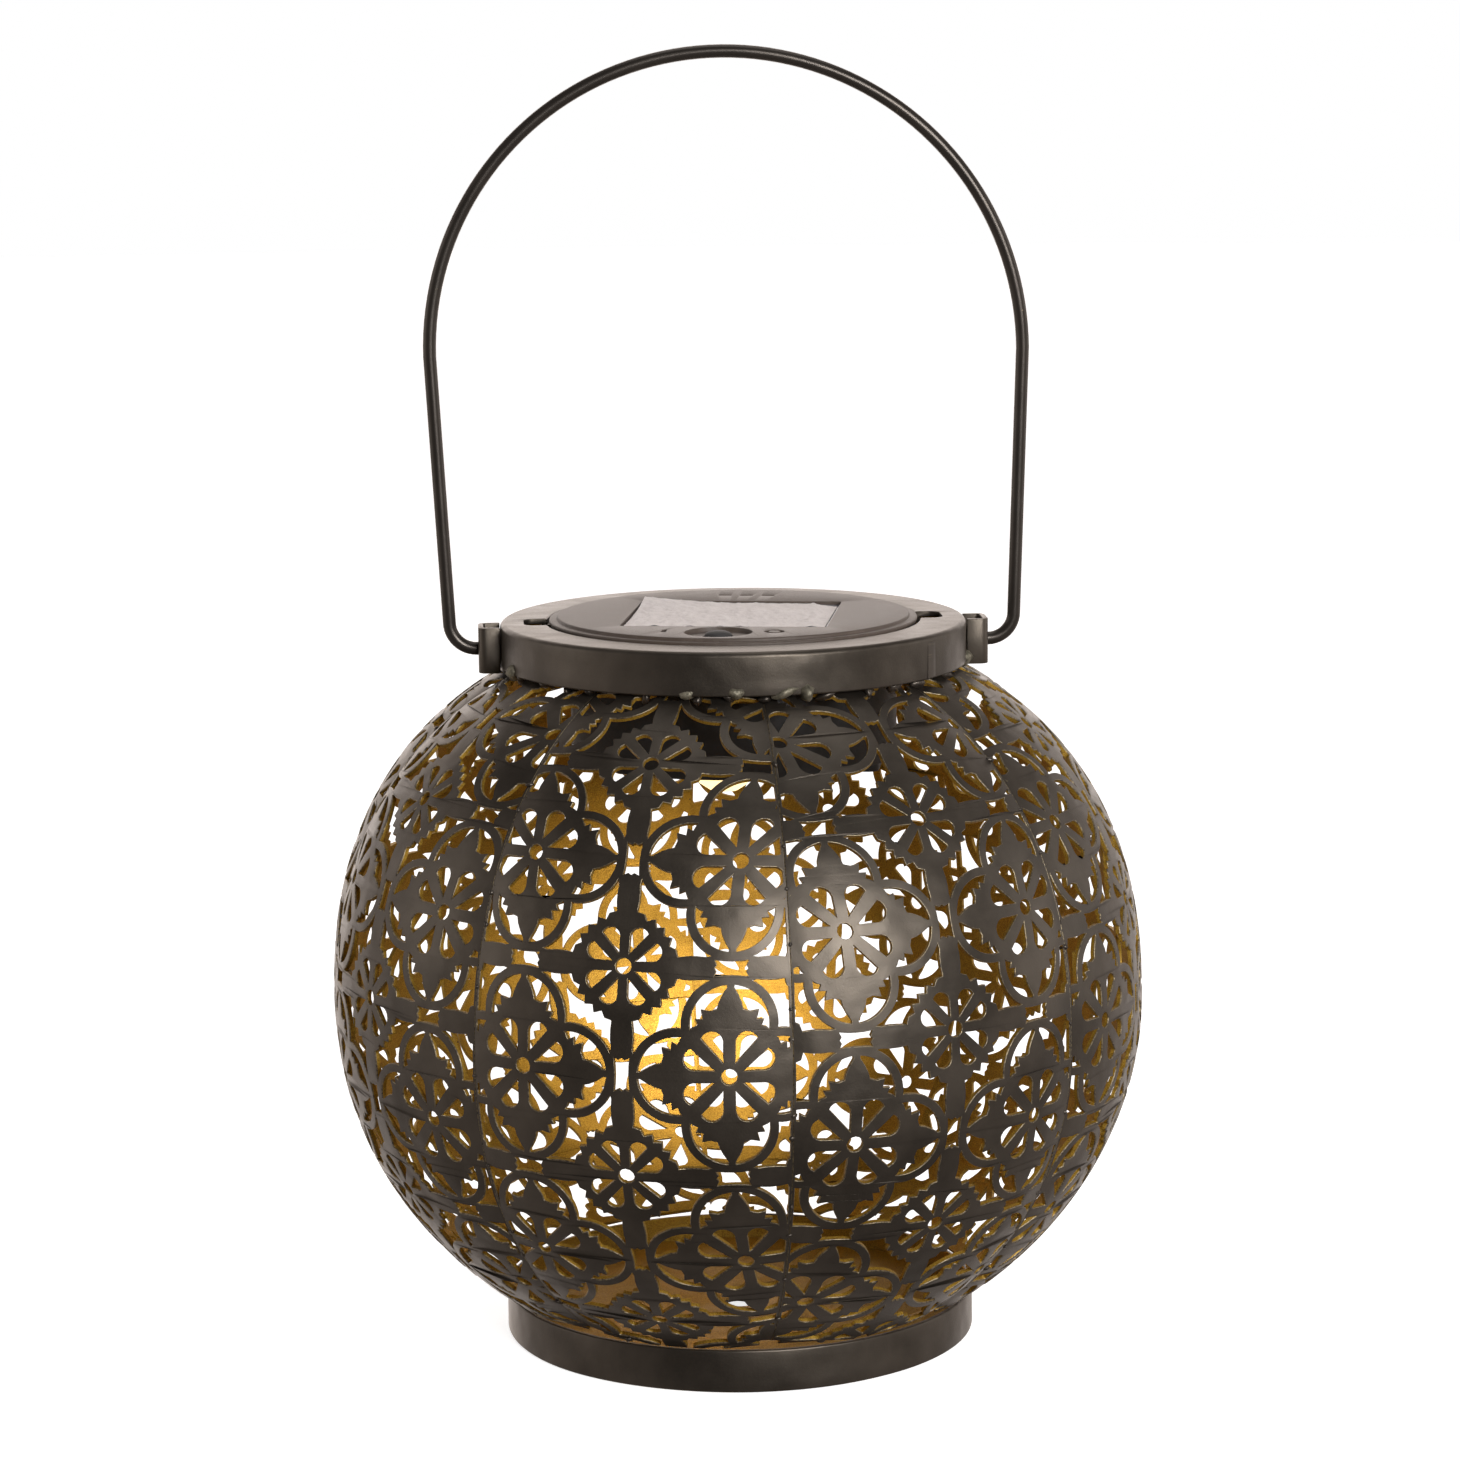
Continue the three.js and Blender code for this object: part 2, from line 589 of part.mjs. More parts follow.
function solarFilm() {
  const low = LID_TOP_Z - CELL_RECESS_DEPTH + CELL_THICKNESS + SEAL_GAP;
  return roundedPlate(CELL_WIDTH, CELL_DEPTH, 0.3, low, low + FILM_THICKNESS, 0, CELL_CENTRE_Y);
}

// Dome, stem and a flange that stops it under the lid.
function switchButton() {
  const top = LID_TOP_Z + BUTTON_RISE;
  const [flangeLow, flangeTop] = [BUTTON_FLANGE_LOW_Z, BUTTON_FLANGE_TOP_Z];
  const flangeRadius = BUTTON_RADIUS + BUTTON_FLANGE_WIDTH;
  const domeRise = BUTTON_DOME_RISE;
  const dome = [0.25, 0.5, 0.75].map((share) => {
    const angle = (share * Math.PI) / 2;
    return [BUTTON_RADIUS * Math.cos(angle), top - domeRise + domeRise * Math.sin(angle)];
  });
  const body = revolve(
    [
      [0, flangeLow],
      [flangeRadius, flangeLow],
      [flangeRadius, flangeTop],
      [BUTTON_RADIUS, flangeTop],
      [BUTTON_RADIUS, top - domeRise],
      ...dome,
      [0, top],
    ],
    SMALL_STEPS,
  );
  return at(body, 0, BUTTON_Y);
}

function switchBody() {
  const low = BOARD_TOP_Z + SEAL_GAP;
  const top = BUTTON_FLANGE_LOW_Z - BUTTON_TRAVEL - GAP;
  return roundedPlate(SWITCH_SIDE, SWITCH_SIDE, 0.5, low, top, 0, BUTTON_Y);
}

function circuitBoard() {
  const board = disc(HOUSING_INSIDE - GAP, BOARD_BOTTOM_Z, BOARD_TOP_Z);
  return board.subtract(at(disc(1.2, BOARD_BOTTOM_Z - BAND, BOARD_TOP_Z + BAND, TINY_STEPS), 0, LED_Y));
}

// Drum with a ledge for the board, an open bay for the battery, screw bosses and two tabs.
function moduleHousing() {
  const ledgeInside = HOUSING_INSIDE - LEDGE_WIDTH;
  const drum = revolve([
    [0, HOUSING_BOTTOM_Z],
    [HOUSING_RADIUS, HOUSING_BOTTOM_Z],
    [HOUSING_RADIUS, HOUSING_TOP_Z],
    [HOUSING_INSIDE, HOUSING_TOP_Z],
    [HOUSING_INSIDE, LEDGE_TOP_Z],
    [ledgeInside, LEDGE_TOP_Z],
    [HOUSING_INSIDE, LEDGE_LOW_Z],
    [HOUSING_INSIDE, HOUSING_FLOOR_Z],
    [0, HOUSING_FLOOR_Z],
  ]);
  const bay = block(
    -BAY_HALF_LENGTH,
    BAY_HALF_LENGTH,
    BATTERY_Y - BAY_HALF_WIDTH,
    BATTERY_Y + BAY_HALF_WIDTH,
    HOUSING_BOTTOM_Z - BAND,
    LEDGE_LOW_Z,
  );
  const lensTop = HOUSING_FLOOR_Z + BAND;
  const lensHole = disc(LENS_RADIUS + GAP, HOUSING_BOTTOM_Z - BAND, lensTop, SMALL_STEPS);
  let housing = drum.subtract(bay).subtract(at(lensHole, 0, LED_Y));
  const bossTop = HOUSING_BOTTOM_Z + SCREW_LENGTH + BAND;
  const boss = disc(SCREW_BOSS_RADIUS, HOUSING_BOTTOM_Z, bossTop, SMALL_STEPS);
  const screwHole = disc(SCREW_RADIUS + GAP, HOUSING_BOTTOM_Z - BAND, bossTop - BAND / 2, TINY_STEPS);
  for (const x of [-SCREW_X, SCREW_X])
    housing = housing.add(at(boss, x, SCREW_Y)).subtract(at(screwHole, x, SCREW_Y));
  return housing;
}

// The tabs line up with the collar's notches, so they are set to the handle axis.
function bayonetTabs() {
  const reach = NOTCH_REACH - TAB_CLEARANCE;
  const width = NOTCH_WIDTH - 2 * TAB_SIDE_CLEARANCE;
  const low = TAB_TOP_Z - TAB_THICKNESS;
  const bar = roundedPlate(2 * reach, width, 1.5, low, TAB_TOP_Z);
  return bar.subtract(disc(HOUSING_RADIUS - HOUSING_WALL / 2, low - BAND, TAB_TOP_Z + BAND));
}

function batteryCell() {
  const [radius, half] = [BATTERY_RADIUS, BATTERY_LENGTH / 2];
  const nub = 1.2;
  const body = revolve(
    [
      [0, -half],
      [radius - 0.6, -half],
      [radius, 0.6 - half],
      [radius, half - nub - 0.6],
      [radius - 0.6, half - nub],
      [2.7, half - nub],
      [2.7, half],
      [0, half],
    ],
    SMALL_STEPS,
  );
  return at(body.rotate([0, -90, 0]), 0, BATTERY_Y, BATTERY_Z);
}

// Plate that the battery's button end touches.
function plateContact() {
  const outer = -BAY_HALF_LENGTH + GAP;
  const half = CONTACT_SIDE / 2;
  const [low, high] = [BATTERY_Z - half, BATTERY_Z + half];
  return block(outer, outer + CONTACT_THICKNESS, BATTERY_Y - half, BATTERY_Y + half, low, high);
}

// Coiled contact at the battery's flat end: two turns that widen towards the wall.
function springContact() {
  const turns = 2;
  const wire = SPRING_WIRE;
  const room = BATTERY_END_ROOM - 2 * GAP - wire;
  const start = BATTERY_LENGTH / 2 + GAP + wire / 2;
  class Coil extends THREE.Curve {
    getPoint(t, target = new THREE.Vector3()) {
      const angle = 2 * Math.PI * turns * t;
      const radius = 1.8 + 2.4 * t;
      const [y, z] = [BATTERY_Y + radius * Math.cos(angle), BATTERY_Z + radius * Math.sin(angle)];
      return target.set(start + room * t, y, z);
    }
  }
  const section = new THREE.Shape().absarc(0, 0, wire / 2, 0, 2 * Math.PI);
  const options = { steps: 28, curveSegments: 3, extrudePath: new Coil() };
  return solid(new THREE.ExtrudeGeometry(section, options));
}

// Round lamp that points down, with two leads up to the board.
function led() {
  const low = HOUSING_BOTTOM_Z - LENS_DROP + LENS_WALL + LED_ABOVE_LENS;
  const bodyTop = low + LED_HEIGHT;
  const dome = [0.3, 0.65].map((share) => {
    const angle = (share * Math.PI) / 2;
    return [LED_RADIUS * Math.sin(angle), low + LED_RADIUS - LED_RADIUS * Math.cos(angle)];
  });
  let lamp = revolve(
    [
      [0, low],
      ...dome,
      [LED_RADIUS, low + LED_RADIUS],
      [LED_RADIUS, bodyTop - 1],
      [LED_RADIUS + 0.4, bodyTop - 1],
      [LED_RADIUS + 0.4, bodyTop],
      [0, bodyTop],
    ],
    SMALL_STEPS,
  );
  for (const x of [-1.27, 1.27])
    lamp = lamp.add(block(x - 0.25, x + 0.25, -0.25, 0.25, bodyTop - 0.5, BOARD_BOTTOM_Z - GAP));
  return at(lamp, 0, LED_Y);
}

// Frosted dome open at the top, with a lip that rests on the floor of the housing.
function ledLens() {
  const outer = LENS_RADIUS;
  const inner = LENS_RADIUS - LENS_WALL;
  const bottom = HOUSING_BOTTOM_Z - LENS_DROP;
  const lipLow = HOUSING_FLOOR_Z + SEAL_GAP;
  const lipTop = lipLow + LENS_WALL;
  const bowl = (radius, height) =>
    [0, 0.3, 0.6, 0.85].map((share) => {
      const angle = (share * Math.PI) / 2;
      return [radius * Math.sin(angle), bottom + LENS_DROP - height * Math.cos(angle)];
    });
  const lens = revolve(
    [
      ...bowl(outer, LENS_DROP),
      [outer, HOUSING_BOTTOM_Z],
      [outer, lipLow],
      [outer + LENS_LIP, lipLow],
      [outer + LENS_LIP, lipTop],
      [inner, lipTop],
      [inner, HOUSING_BOTTOM_Z],
      ...bowl(inner, LENS_DROP - LENS_WALL).reverse(),
    ],
    SMALL_STEPS,
  );
  return at(lens, 0, LED_Y);
}

function batteryCover() {
  const low = COVER_LOW_Z;
  const width = 2 * (BAY_HALF_LENGTH + COVER_OVERLAP);
  const depth = COVER_BACK_Y - COVER_FRONT_Y;
  const middle = (COVER_BACK_Y + COVER_FRONT_Y) / 2;
  let cover = roundedPlate(width, depth, 2, low, COVER_TOP_Z, 0, middle);
  const hole = disc(SCREW_RADIUS + GAP, low - BAND, COVER_TOP_Z + BAND, TINY_STEPS);
  for (const x of [-SCREW_X, SCREW_X]) cover = cover.subtract(at(hole, x, SCREW_Y));
  return cover;
}

// Pan-head screw with a cross recess.
function coverScrew(x) {
  const headTop = COVER_LOW_Z - SEAL_GAP;
  const low = headTop - SCREW_HEAD_HEIGHT;
  const body = revolve(
    [
      [0, low],
      [SCREW_HEAD_RADIUS - 0.5, low],
      [SCREW_HEAD_RADIUS, low + 0.5],
      [SCREW_HEAD_RADIUS, headTop],
      [SCREW_RADIUS, headTop],
      [SCREW_RADIUS, headTop + SCREW_LENGTH],
      [0, headTop + SCREW_LENGTH],
    ],
    TINY_STEPS,
  );
  const slot = block(-1.3, 1.3, -0.25, 0.25, low - BAND, low + 0.6);
  return at(body.subtract(slot).subtract(slot.rotate([0, 0, 90])), x, SCREW_Y);
}

// ---- Materials ------------------------------------------------------------------------------

function finish(color, roughness, metalness, extra = {}) {
  return new THREE.MeshStandardMaterial({ color, roughness, metalness, ...extra });
}

const bronze = finish(0x3a3430, 0.42, 0.9);
const plastic = finish(0x6b625a, 0.5, 0.0);
const darkPlastic = finish(0x2b2826, 0.55, 0.0);
const silicon = finish(0x1c2433, 0.2, 0.1);
const film = finish(0xbdb6bb, 0.3, 0.4);
const rubber = finish(0x1b1b1c, 0.85, 0.0);
const boardGreen = finish(0x2f5a3a, 0.5, 0.0);
const batteryWrap = finish(0x3f7a4a, 0.35, 0.1);
const nickel = finish(0xb9b7b0, 0.3, 1.0);
const lampYellow = finish(0xe8c25a, 0.25, 0.0);
const frosted = finish(0xf2e3c0, 0.45, 0.0, { transparent: true, opacity: 0.7 });

// ---- Assembly -------------------------------------------------------------------------------

const lantern = new THREE.Group();
const lampUnit = new THREE.Group();
lampUnit.rotation.z = LID_TURN;
lantern.add(lampUnit);

function place(parent, name, body, material) {
  const mesh = new THREE.Mesh(surface(body), material);
  mesh.name = name;
  parent.add(mesh);
}

for (let number = 1; number <= GORE_COUNT; number++)
  place(lantern, `globe_panel_${number}`, piercedGore(number), bronze);
place(lantern, "base_ring", baseRing(), bronze);
place(lantern, "base_plate", basePlate(), bronze);
place(lantern, "collar_ring", collarRing(), bronze);
place(lantern, "lug_left", lug(-1), bronze);
place(lantern, "lug_right", lug(1), bronze);
place(lantern, "handle_bail", handleBail(), bronze);
place(lantern, "lid_gasket", lidGasket(), rubber);

// The housing's tabs point along the handle axis, so they are turned back before they join it.
const straightTabs = bayonetTabs().rotate([0, 0, -THREE.MathUtils.radToDeg(LID_TURN)]);
place(lampUnit, "module_housing", moduleHousing().add(straightTabs), darkPlastic);
place(lampUnit, "lid_cover", lidCover(), plastic);
place(lampUnit, "solar_cell", solarCell(), silicon);
place(lampUnit, "solar_film", solarFilm(), film);
place(lampUnit, "switch_button", switchButton(), plastic);
place(lampUnit, "switch_body", switchBody(), darkPlastic);
place(lampUnit, "circuit_board", circuitBoard(), boardGreen);
place(lampUnit, "battery_cell", batteryCell(), batteryWrap);
place(lampUnit, "plate_contact", plateContact(), nickel);
place(lampUnit, "spring_contact", springContact(), nickel);
place(lampUnit, "led", led(), lampYellow);
place(lampUnit, "led_lens", ledLens(), frosted);
place(lampUnit, "battery_cover", batteryCover(), darkPlastic);
[-SCREW_X, SCREW_X].forEach((x, index) =>
  place(lampUnit, `cover_screw_${index + 1}`, coverScrew(x), nickel),
);

export default lantern;
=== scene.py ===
"""Looks of a hanging lantern: a pierced two-tone sheet-metal globe with a solar lamp unit in its lid."""

import math

import bmesh
import bpy
import numpy as np
from bpy.props import FloatProperty, FloatVectorProperty, IntProperty, PointerProperty
from mathutils import Matrix, Vector, noise


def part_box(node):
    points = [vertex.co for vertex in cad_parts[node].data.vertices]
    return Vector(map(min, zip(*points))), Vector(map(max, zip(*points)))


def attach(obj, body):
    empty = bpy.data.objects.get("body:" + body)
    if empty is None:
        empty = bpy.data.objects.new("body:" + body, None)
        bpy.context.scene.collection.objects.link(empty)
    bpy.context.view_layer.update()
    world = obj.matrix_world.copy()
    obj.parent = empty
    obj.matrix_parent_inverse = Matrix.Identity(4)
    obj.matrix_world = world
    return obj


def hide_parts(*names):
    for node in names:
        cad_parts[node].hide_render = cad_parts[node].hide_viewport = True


bl_info = {
    "name": "Hanging Lantern",
    "version": (1, 0, 0),
    "blender": (4, 5, 0),
    "location": "View3D > Sidebar > Lantern",
    "description": "Builds the visible pieces of a pierced metal lantern around its packed frame",
    "category": "Object",
}

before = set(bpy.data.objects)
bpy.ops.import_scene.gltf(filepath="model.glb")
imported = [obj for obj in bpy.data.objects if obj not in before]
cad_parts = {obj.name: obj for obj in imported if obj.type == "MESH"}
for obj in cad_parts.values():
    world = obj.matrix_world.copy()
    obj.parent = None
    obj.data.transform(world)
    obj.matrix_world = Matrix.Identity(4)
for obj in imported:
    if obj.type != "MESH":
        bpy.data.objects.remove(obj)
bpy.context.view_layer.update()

MM = 0.001
UP = Vector((0, 0, 1))
SIDES = (-1, 1)


def edge_mm(node, axis, end=1):
    """Where a frame node ends along an axis, in millimetres."""
    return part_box(node)[end][axis] / MM


def extent_mm(node):
    """Outer edge, bottom and top of a frame node, in millimetres."""
    return edge_mm(node, 0), edge_mm(node, 2, 0), edge_mm(node, 2)


# ---- Sizes and colours a user may change -----------------------------------------------------


def size(name, description, default, **limits):
    return FloatProperty(name=name, description=description, default=default, precision=2, **limits)


def angle(name, description, degrees):
    return FloatProperty(
        name=name,
        description=description,
        default=math.radians(degrees),
        subtype="ANGLE",
        unit="ROTATION",
    )


def paint(name, description, default):
    return FloatVectorProperty(
        name=name,
        description=description,
        default=default,
        subtype="COLOR",
        size=3,
        min=0,
        max=1,
    )


class LanternGlobeSizes(bpy.types.PropertyGroup):
    """Sizes of the pierced globe, in millimetres"""

    radius: size("Widest radius", "Radius of the globe at its waist, in mm", 77.5)
    waist: size("Waist height", "Height of the widest circle above the table, in mm", 65.0)
    upper_roundness: size("Upper roundness", "2 is an ellipse and more is squarer", 2.31)
    lower_roundness: size("Lower roundness", "2 is an ellipse and more is squarer", 1.956)
    tuck: size("Tuck", "How far the gores reach up inside the collar, in mm", 1.6)
    sheet: size("Sheet thickness", "Thickness of the sheet metal, in mm", 0.8)
    rim: size("Rolled rim", "Width of the rounded edge round each hole, in mm", 0.16)
    gores: IntProperty(name="Gores", description="Number of upright panels", default=8, min=3)
    first_seam: angle("First seam", "Turn of the first seam from the front, to the right", 3.5)
    seam_gap: size("Seam gap", "Slit between neighbouring gores, in mm", 0.2)
    strip: size("Seam strip", "Width of the unpierced strip along each seam, in mm", 0.3)
    seam_dip: size("Seam dip", "How deep the seams lie below the round form, in mm", 1.1)
    pitch: size("Pattern pitch", "Distance between neighbouring medallions, in mm", 38.2)
    odd_phase: size("Odd gores' phase", "Share of the pitch that the pattern is raised by", 0.23)
    even_phase: size("Even gores' phase", "Share of the pitch that the pattern is raised by", -0.42)


class LanternBandSizes(bpy.types.PropertyGroup):
    """Sizes of the collar, the base, the handle and the lid, in millimetres"""

    band: size("Band thickness", "Thickness of the rolled bands, in mm", 1.0)
    edge_round: size("Collar edge", "Radius of the collar's rolled top edge, in mm", 1.0)
    seat_radius: size("Seat radius", "Outer radius of the lid's sunk seat, in mm", 35.4)
    seat_depth: size("Seat depth", "Depth of the lid's seat below the collar, in mm", 1.2)
    mouth: size("Mouth radius", "Inner radius of the collar's mouth, in mm", 32.0)
    notch_reach: size("Notch reach", "How far the bayonet notches reach out, in mm", 39.6)
    notch_width: size("Notch width", "Width of the bayonet notches, in mm", 8.8)
    wire: size("Wire", "Diameter of the handle's wire, in mm", 2.5)
    bend: size("Wire bend", "Radius of the bends at the handle's feet, in mm", 5.0)
    arch_radius: size("Arch radius", "Radius of the handle's arch, in mm", 55.6)
    arch_rise: size("Arch rise", "Height of the arch's centre above the pivot, in mm", 55.1)
    lean: size("Handle lean", "How far the arch's top leans to the left, in mm", 1.1)
    lid_turn: angle("Lid turn", "Turn of the lamp unit against the handle's axis", -10)
    lid_step: size("Lid step", "Width of the step round the lid, in mm", 1.5)
    cell_y: size("Cell centre", "Place of the solar cell behind the lid's middle, in mm", -0.8)
    cell_width: size("Cell width", "Width of the solar cell, in mm", 38.0)
    cell_depth: size("Cell length", "Length of the solar cell, in mm", 33.6)
    button_y: size("Button place", "Place of the button behind the lid's middle, in mm", -25.2)
    button_recess: size("Button recess", "Radius of the dished recess round the button, in mm", 6.3)
    button_radius: size("Button radius", "Radius of the button's dome, in mm", 2.55)


class LanternColours(bpy.types.PropertyGroup):
    """Colours of the finishes"""

    bronze: paint("Bronze", "Dark bronze finish on the outside", (0.116, 0.098, 0.082))
    bronze_dark: paint("Dark bronze", "Darker clouds in the bronze finish", (0.066, 0.056, 0.048))
    worn: paint("Worn edge", "Rubbed edges of the bronze finish", (0.36, 0.29, 0.18))
    gilt: paint("Gilt", "Gold lacquer on the inside and the cut edges", (0.56, 0.355, 0.050))
    gilt_deep: paint("Deep gilt", "Darker flecks in the gold lacquer", (0.27, 0.145, 0.018))
    lid: paint("Lid", "Moulded plastic of the lid", (0.088, 0.064, 0.050))
    housing: paint("Housing", "Moulded plastic of the lamp's housing", (0.022, 0.022, 0.023))
    rubber: paint("Rubber", "Gasket and button", (0.030, 0.028, 0.028))
    silicon: paint("Silicon", "Solar cell", (0.010, 0.013, 0.045))
    film: paint("Film", "Protective film over the cell", (0.76, 0.70, 0.685))
    bead: paint("Weld bead", "Bare weld metal under the lacquer", (0.30, 0.27, 0.20))
    glow: paint("Glow", "Colour of the lamp's light", (1.0, 0.72, 0.34))


# ---- Node trees ------------------------------------------------------------------------------


def arithmetic(operation, swapped=False):
    """A method that adds the maths node for an arithmetic sign."""

    def method(self, other):
        terms = (other, self) if swapped else (self, other)
        return self.tree.node("ShaderNodeMath", {"operation": operation}, dict(enumerate(terms)))

    return method


class Value:
    """One output socket, with the arithmetic that adds maths nodes to its tree."""

    __add__, __radd__ = arithmetic("ADD"), arithmetic("ADD", swapped=True)
    __sub__, __rsub__ = arithmetic("SUBTRACT"), arithmetic("SUBTRACT", swapped=True)
    __mul__, __rmul__ = arithmetic("MULTIPLY"), arithmetic("MULTIPLY", swapped=True)
    __truediv__, __pow__ = arithmetic("DIVIDE"), arithmetic("POWER")
    __lt__, __gt__ = arithmetic("LESS_THAN"), arithmetic("GREATER_THAN")

    def __init__(self, tree, socket):
        self.tree = tree
        self.socket = socket

    def applied(self, operation, *others, **settings):
        """A maths operation whose first term is this value."""
        settings["operation"] = operation
        return self.tree.node("ShaderNodeMath", settings, dict(enumerate((self, *others))))

    def clamped(self):
        return self.applied("ADD", 0, use_clamp=True)


class Tree:
    """A shader or geometry node tree that is written one node at a time."""

    def __init__(self, nodes, links):
        self.nodes = nodes
        self.links = links

    def node(self, kind, settings=None, inputs=None, output=0):
        """Adds a node: its settings first, then its sockets' values or links."""
        made = self.nodes.new(kind)
        for name, value in (settings or {}).items():
            if name == "stops":
                ramp = made.color_ramp.elements
                while len(ramp) < len(value):
                    ramp.new(0.5)
                for stop, (place, colour) in zip(ramp, value):
                    stop.position = place
                    stop.color = (*colour, 1) if hasattr(colour, "__len__") else (colour,) * 3 + (1,)
            else:
                setattr(made, name, value)
        for key, value in (inputs or {}).items():
            socket = made.inputs[key]
            for one in value if isinstance(value, list) else [value]:
                if isinstance(one, Value):
                    self.links.new(one.socket, socket)
                elif one is not None:
                    socket.default_value = one
        return Value(self, made.outputs[output]) if len(made.outputs) else None

    def other(self, value, output):
        """Another output of the node that a value came from."""
        return Value(self, value.socket.node.outputs[output])

    def vector(self, operation, *terms, output=0):
        return self.node("ShaderNodeVectorMath", {"operation": operation}, dict(enumerate(terms)), output)

    def scaled(self, vector, factor):
        return self.node("ShaderNodeVectorMath", {"operation": "SCALE"}, {0: vector, "Scale": factor})

    def joined(self, x, y, z):
        return self.node("ShaderNodeCombineXYZ", inputs={0: x, 1: y, 2: z})

    def split(self, vector):
        first = self.node("ShaderNodeSeparateXYZ", inputs={0: vector})
        return first, self.other(first, 1), self.other(first, 2)

    def mixed(self, factor, a, b):
        """Colour a where the factor is 0 and colour b where it is 1."""
        a, b = ((*c, 1) if isinstance(c, tuple) else c for c in (a, b))
        return self.node("ShaderNodeMix", {"data_type": "RGBA"}, {0: factor, 6: a, 7: b}, 2)

    def ramp(self, factor, *stops):
        return self.node("ShaderNodeValToRGB", {"stops": stops}, {0: factor})

    def noise(self, place, scale, detail=3.0, roughness=0.55):
        settings = {"Vector": place, "Scale": scale, "Detail": detail, "Roughness": roughness}
        return self.node("ShaderNodeTexNoise", inputs=settings)


def close_finish(tree, base, roughness, metallic=0.0, bump=None, bump_depth=0.02, **extras):
    """Ends a material: the principled shader, its bump in millimetres and the output."""
    base = (*base, 1) if isinstance(base, tuple) else base
    inputs = {"Base Color": base, "Roughness": roughness, "Metallic": metallic}
    if bump is not None:
        depth = {"Height": bump, "Distance": bump_depth * MM}
        inputs["Normal"] = tree.node("ShaderNodeBump", inputs=depth)
    for name, value in extras.items():
        inputs[name.replace("_", " ").title()] = value
    shader = tree.node("ShaderNodeBsdfPrincipled", inputs=inputs)
    tree.node("ShaderNodeOutputMaterial", inputs={"Surface": shader})


# ---- Finishes --------------------------------------------------------------------------------

finishes = {}


def shade_of(colour, factor, lift=0.0):
    """A colour made darker or lighter."""
    return tuple(factor * c + lift for c in colour)


def finish(name, maker, *choices):
    """The finish of that name, made on first use from colours and plain numbers.
    A maker gets the material's tree and the place in mm on the piece."""
    if name not in finishes:
        material = bpy.data.materials.new(name)
        material.use_nodes = True
        material.node_tree.nodes.clear()
        tree = Tree(material.node_tree.nodes, material.node_tree.links)
        place = tree.scaled(tree.node("ShaderNodeTexCoord", output="Object"), 1 / MM)
        maker(tree, place, *[tuple(c) if hasattr(c, "__len__") else c for c in choices])
        finishes[name] = material
    return finishes[name]


def bronze_and_gilt(tree, place, bronze, bronze_dark, worn, gilt, gilt_deep):
    """Dark bronze outside and gold lacquer inside; the attribute gilt is 0, or 0.5 on rolled rims, or 1."""
    side = tree.node("ShaderNodeAttribute", {"attribute_name": "gilt"}, output="Fac")
    clouds = tree.noise(place, 0.055, 4.0)
    grain = tree.noise(place, 2.2, 2.0)
    specks = tree.noise(place, 5.5, 2.0, 0.7)
    outside = tree.mixed(tree.ramp(clouds, (0.36, 0.0), (0.62, 1.0)), bronze_dark, bronze)
    outside = tree.mixed(0.22 * grain, outside, shade_of(worn, 0.4))
    inside = tree.mixed(tree.ramp(specks, (0.38, 0.0), (0.62, 1.0)), gilt_deep, gilt)
    rubbed = tree.mixed(tree.ramp(grain, (0.35, 0.0), (0.6, 1.0)), bronze, worn)
    edge = (side > 0.25) * (side < 0.75)
    base = tree.mixed(side > 0.75, outside, inside)
    base = tree.mixed(edge, base, rubbed)
    roughness = 0.30 + 0.14 * clouds + 0.10 * grain + 0.10 * (side > 0.75)
    undulation = tree.noise(place, 0.075, 2.0)
    bump = 14.0 * undulation + 0.35 * grain + 0.30 * specks
    close_finish(tree, base, roughness, 0.86 - 0.22 * (side > 0.75), bump, 0.05)


def brushed_bronze(tree, place, bronze, bronze_dark, worn):
    """Bronze finish of the rolled bands, with fine lengthwise rub marks."""
    clouds = tree.noise(place, 0.05, 4.0)
    grain = tree.noise(place, 3.0, 2.0)
    rubs = tree.noise(tree.vector("MULTIPLY", place, (0.12, 0.12, 1.6)), 1.0, 3.0)
    base = tree.mixed(tree.ramp(clouds, (0.35, 0.0), (0.65, 1.0)), bronze_dark, bronze)
    base = tree.mixed(tree.ramp(rubs, (0.62, 0.0), (0.80, 0.35)), base, worn)
    roughness = 0.26 + 0.12 * clouds + 0.14 * rubs
    bump = 8.0 * tree.noise(place, 0.09, 2.0) + 0.3 * grain + 0.5 * rubs
    close_finish(tree, base, roughness, 0.86, bump, 0.04)


def lacquered_wire(tree, place, colour, worn):
    """Smooth dark lacquer on wire, with a few small chips."""
    clouds = tree.noise(place, 0.10, 3.0)
    grain = tree.noise(place, 1.6, 2.0)
    chips = tree.ramp(tree.noise(place, 0.55, 3.0, 0.7), (0.70, 0.0), (0.74, 0.8))
    base = tree.mixed(clouds, shade_of(colour, 0.7), shade_of(colour, 1.3))
    base = tree.mixed(chips, base, worn)
    close_finish(tree, base, 0.24 + 0.10 * clouds + 0.06 * grain, 0.7, clouds + 0.1 * grain, 0.02)


def moulded_plastic(tree, place, colour):
    """Satin moulded plastic with a fine spark-eroded grain and scuffs."""
    grain = tree.noise(place, 4.5, 2.0, 0.65)
    scuffs = tree.noise(place, 0.35, 5.0, 0.7)
    dust = tree.ramp(scuffs, (0.48, 0.0), (0.75, 1.0))
    base = tree.mixed(0.35 * dust, colour, shade_of(colour, 1.9, 0.02))
    roughness = 0.36 + 0.16 * grain + 0.14 * scuffs
    close_finish(tree, base, roughness, 0.0, grain + 0.6 * scuffs, 0.05)


def soft_rubber(tree, place, colour):
    """Matt black rubber with a slight bloom."""
    bloom = tree.noise(place, 0.8, 4.0)
    grain = tree.noise(place, 7.0, 2.0)
    base = tree.mixed(0.5 * bloom, colour, shade_of(colour, 2.2))
    close_finish(tree, base, 0.55 + 0.2 * bloom, 0.0, grain + bloom, 0.04)


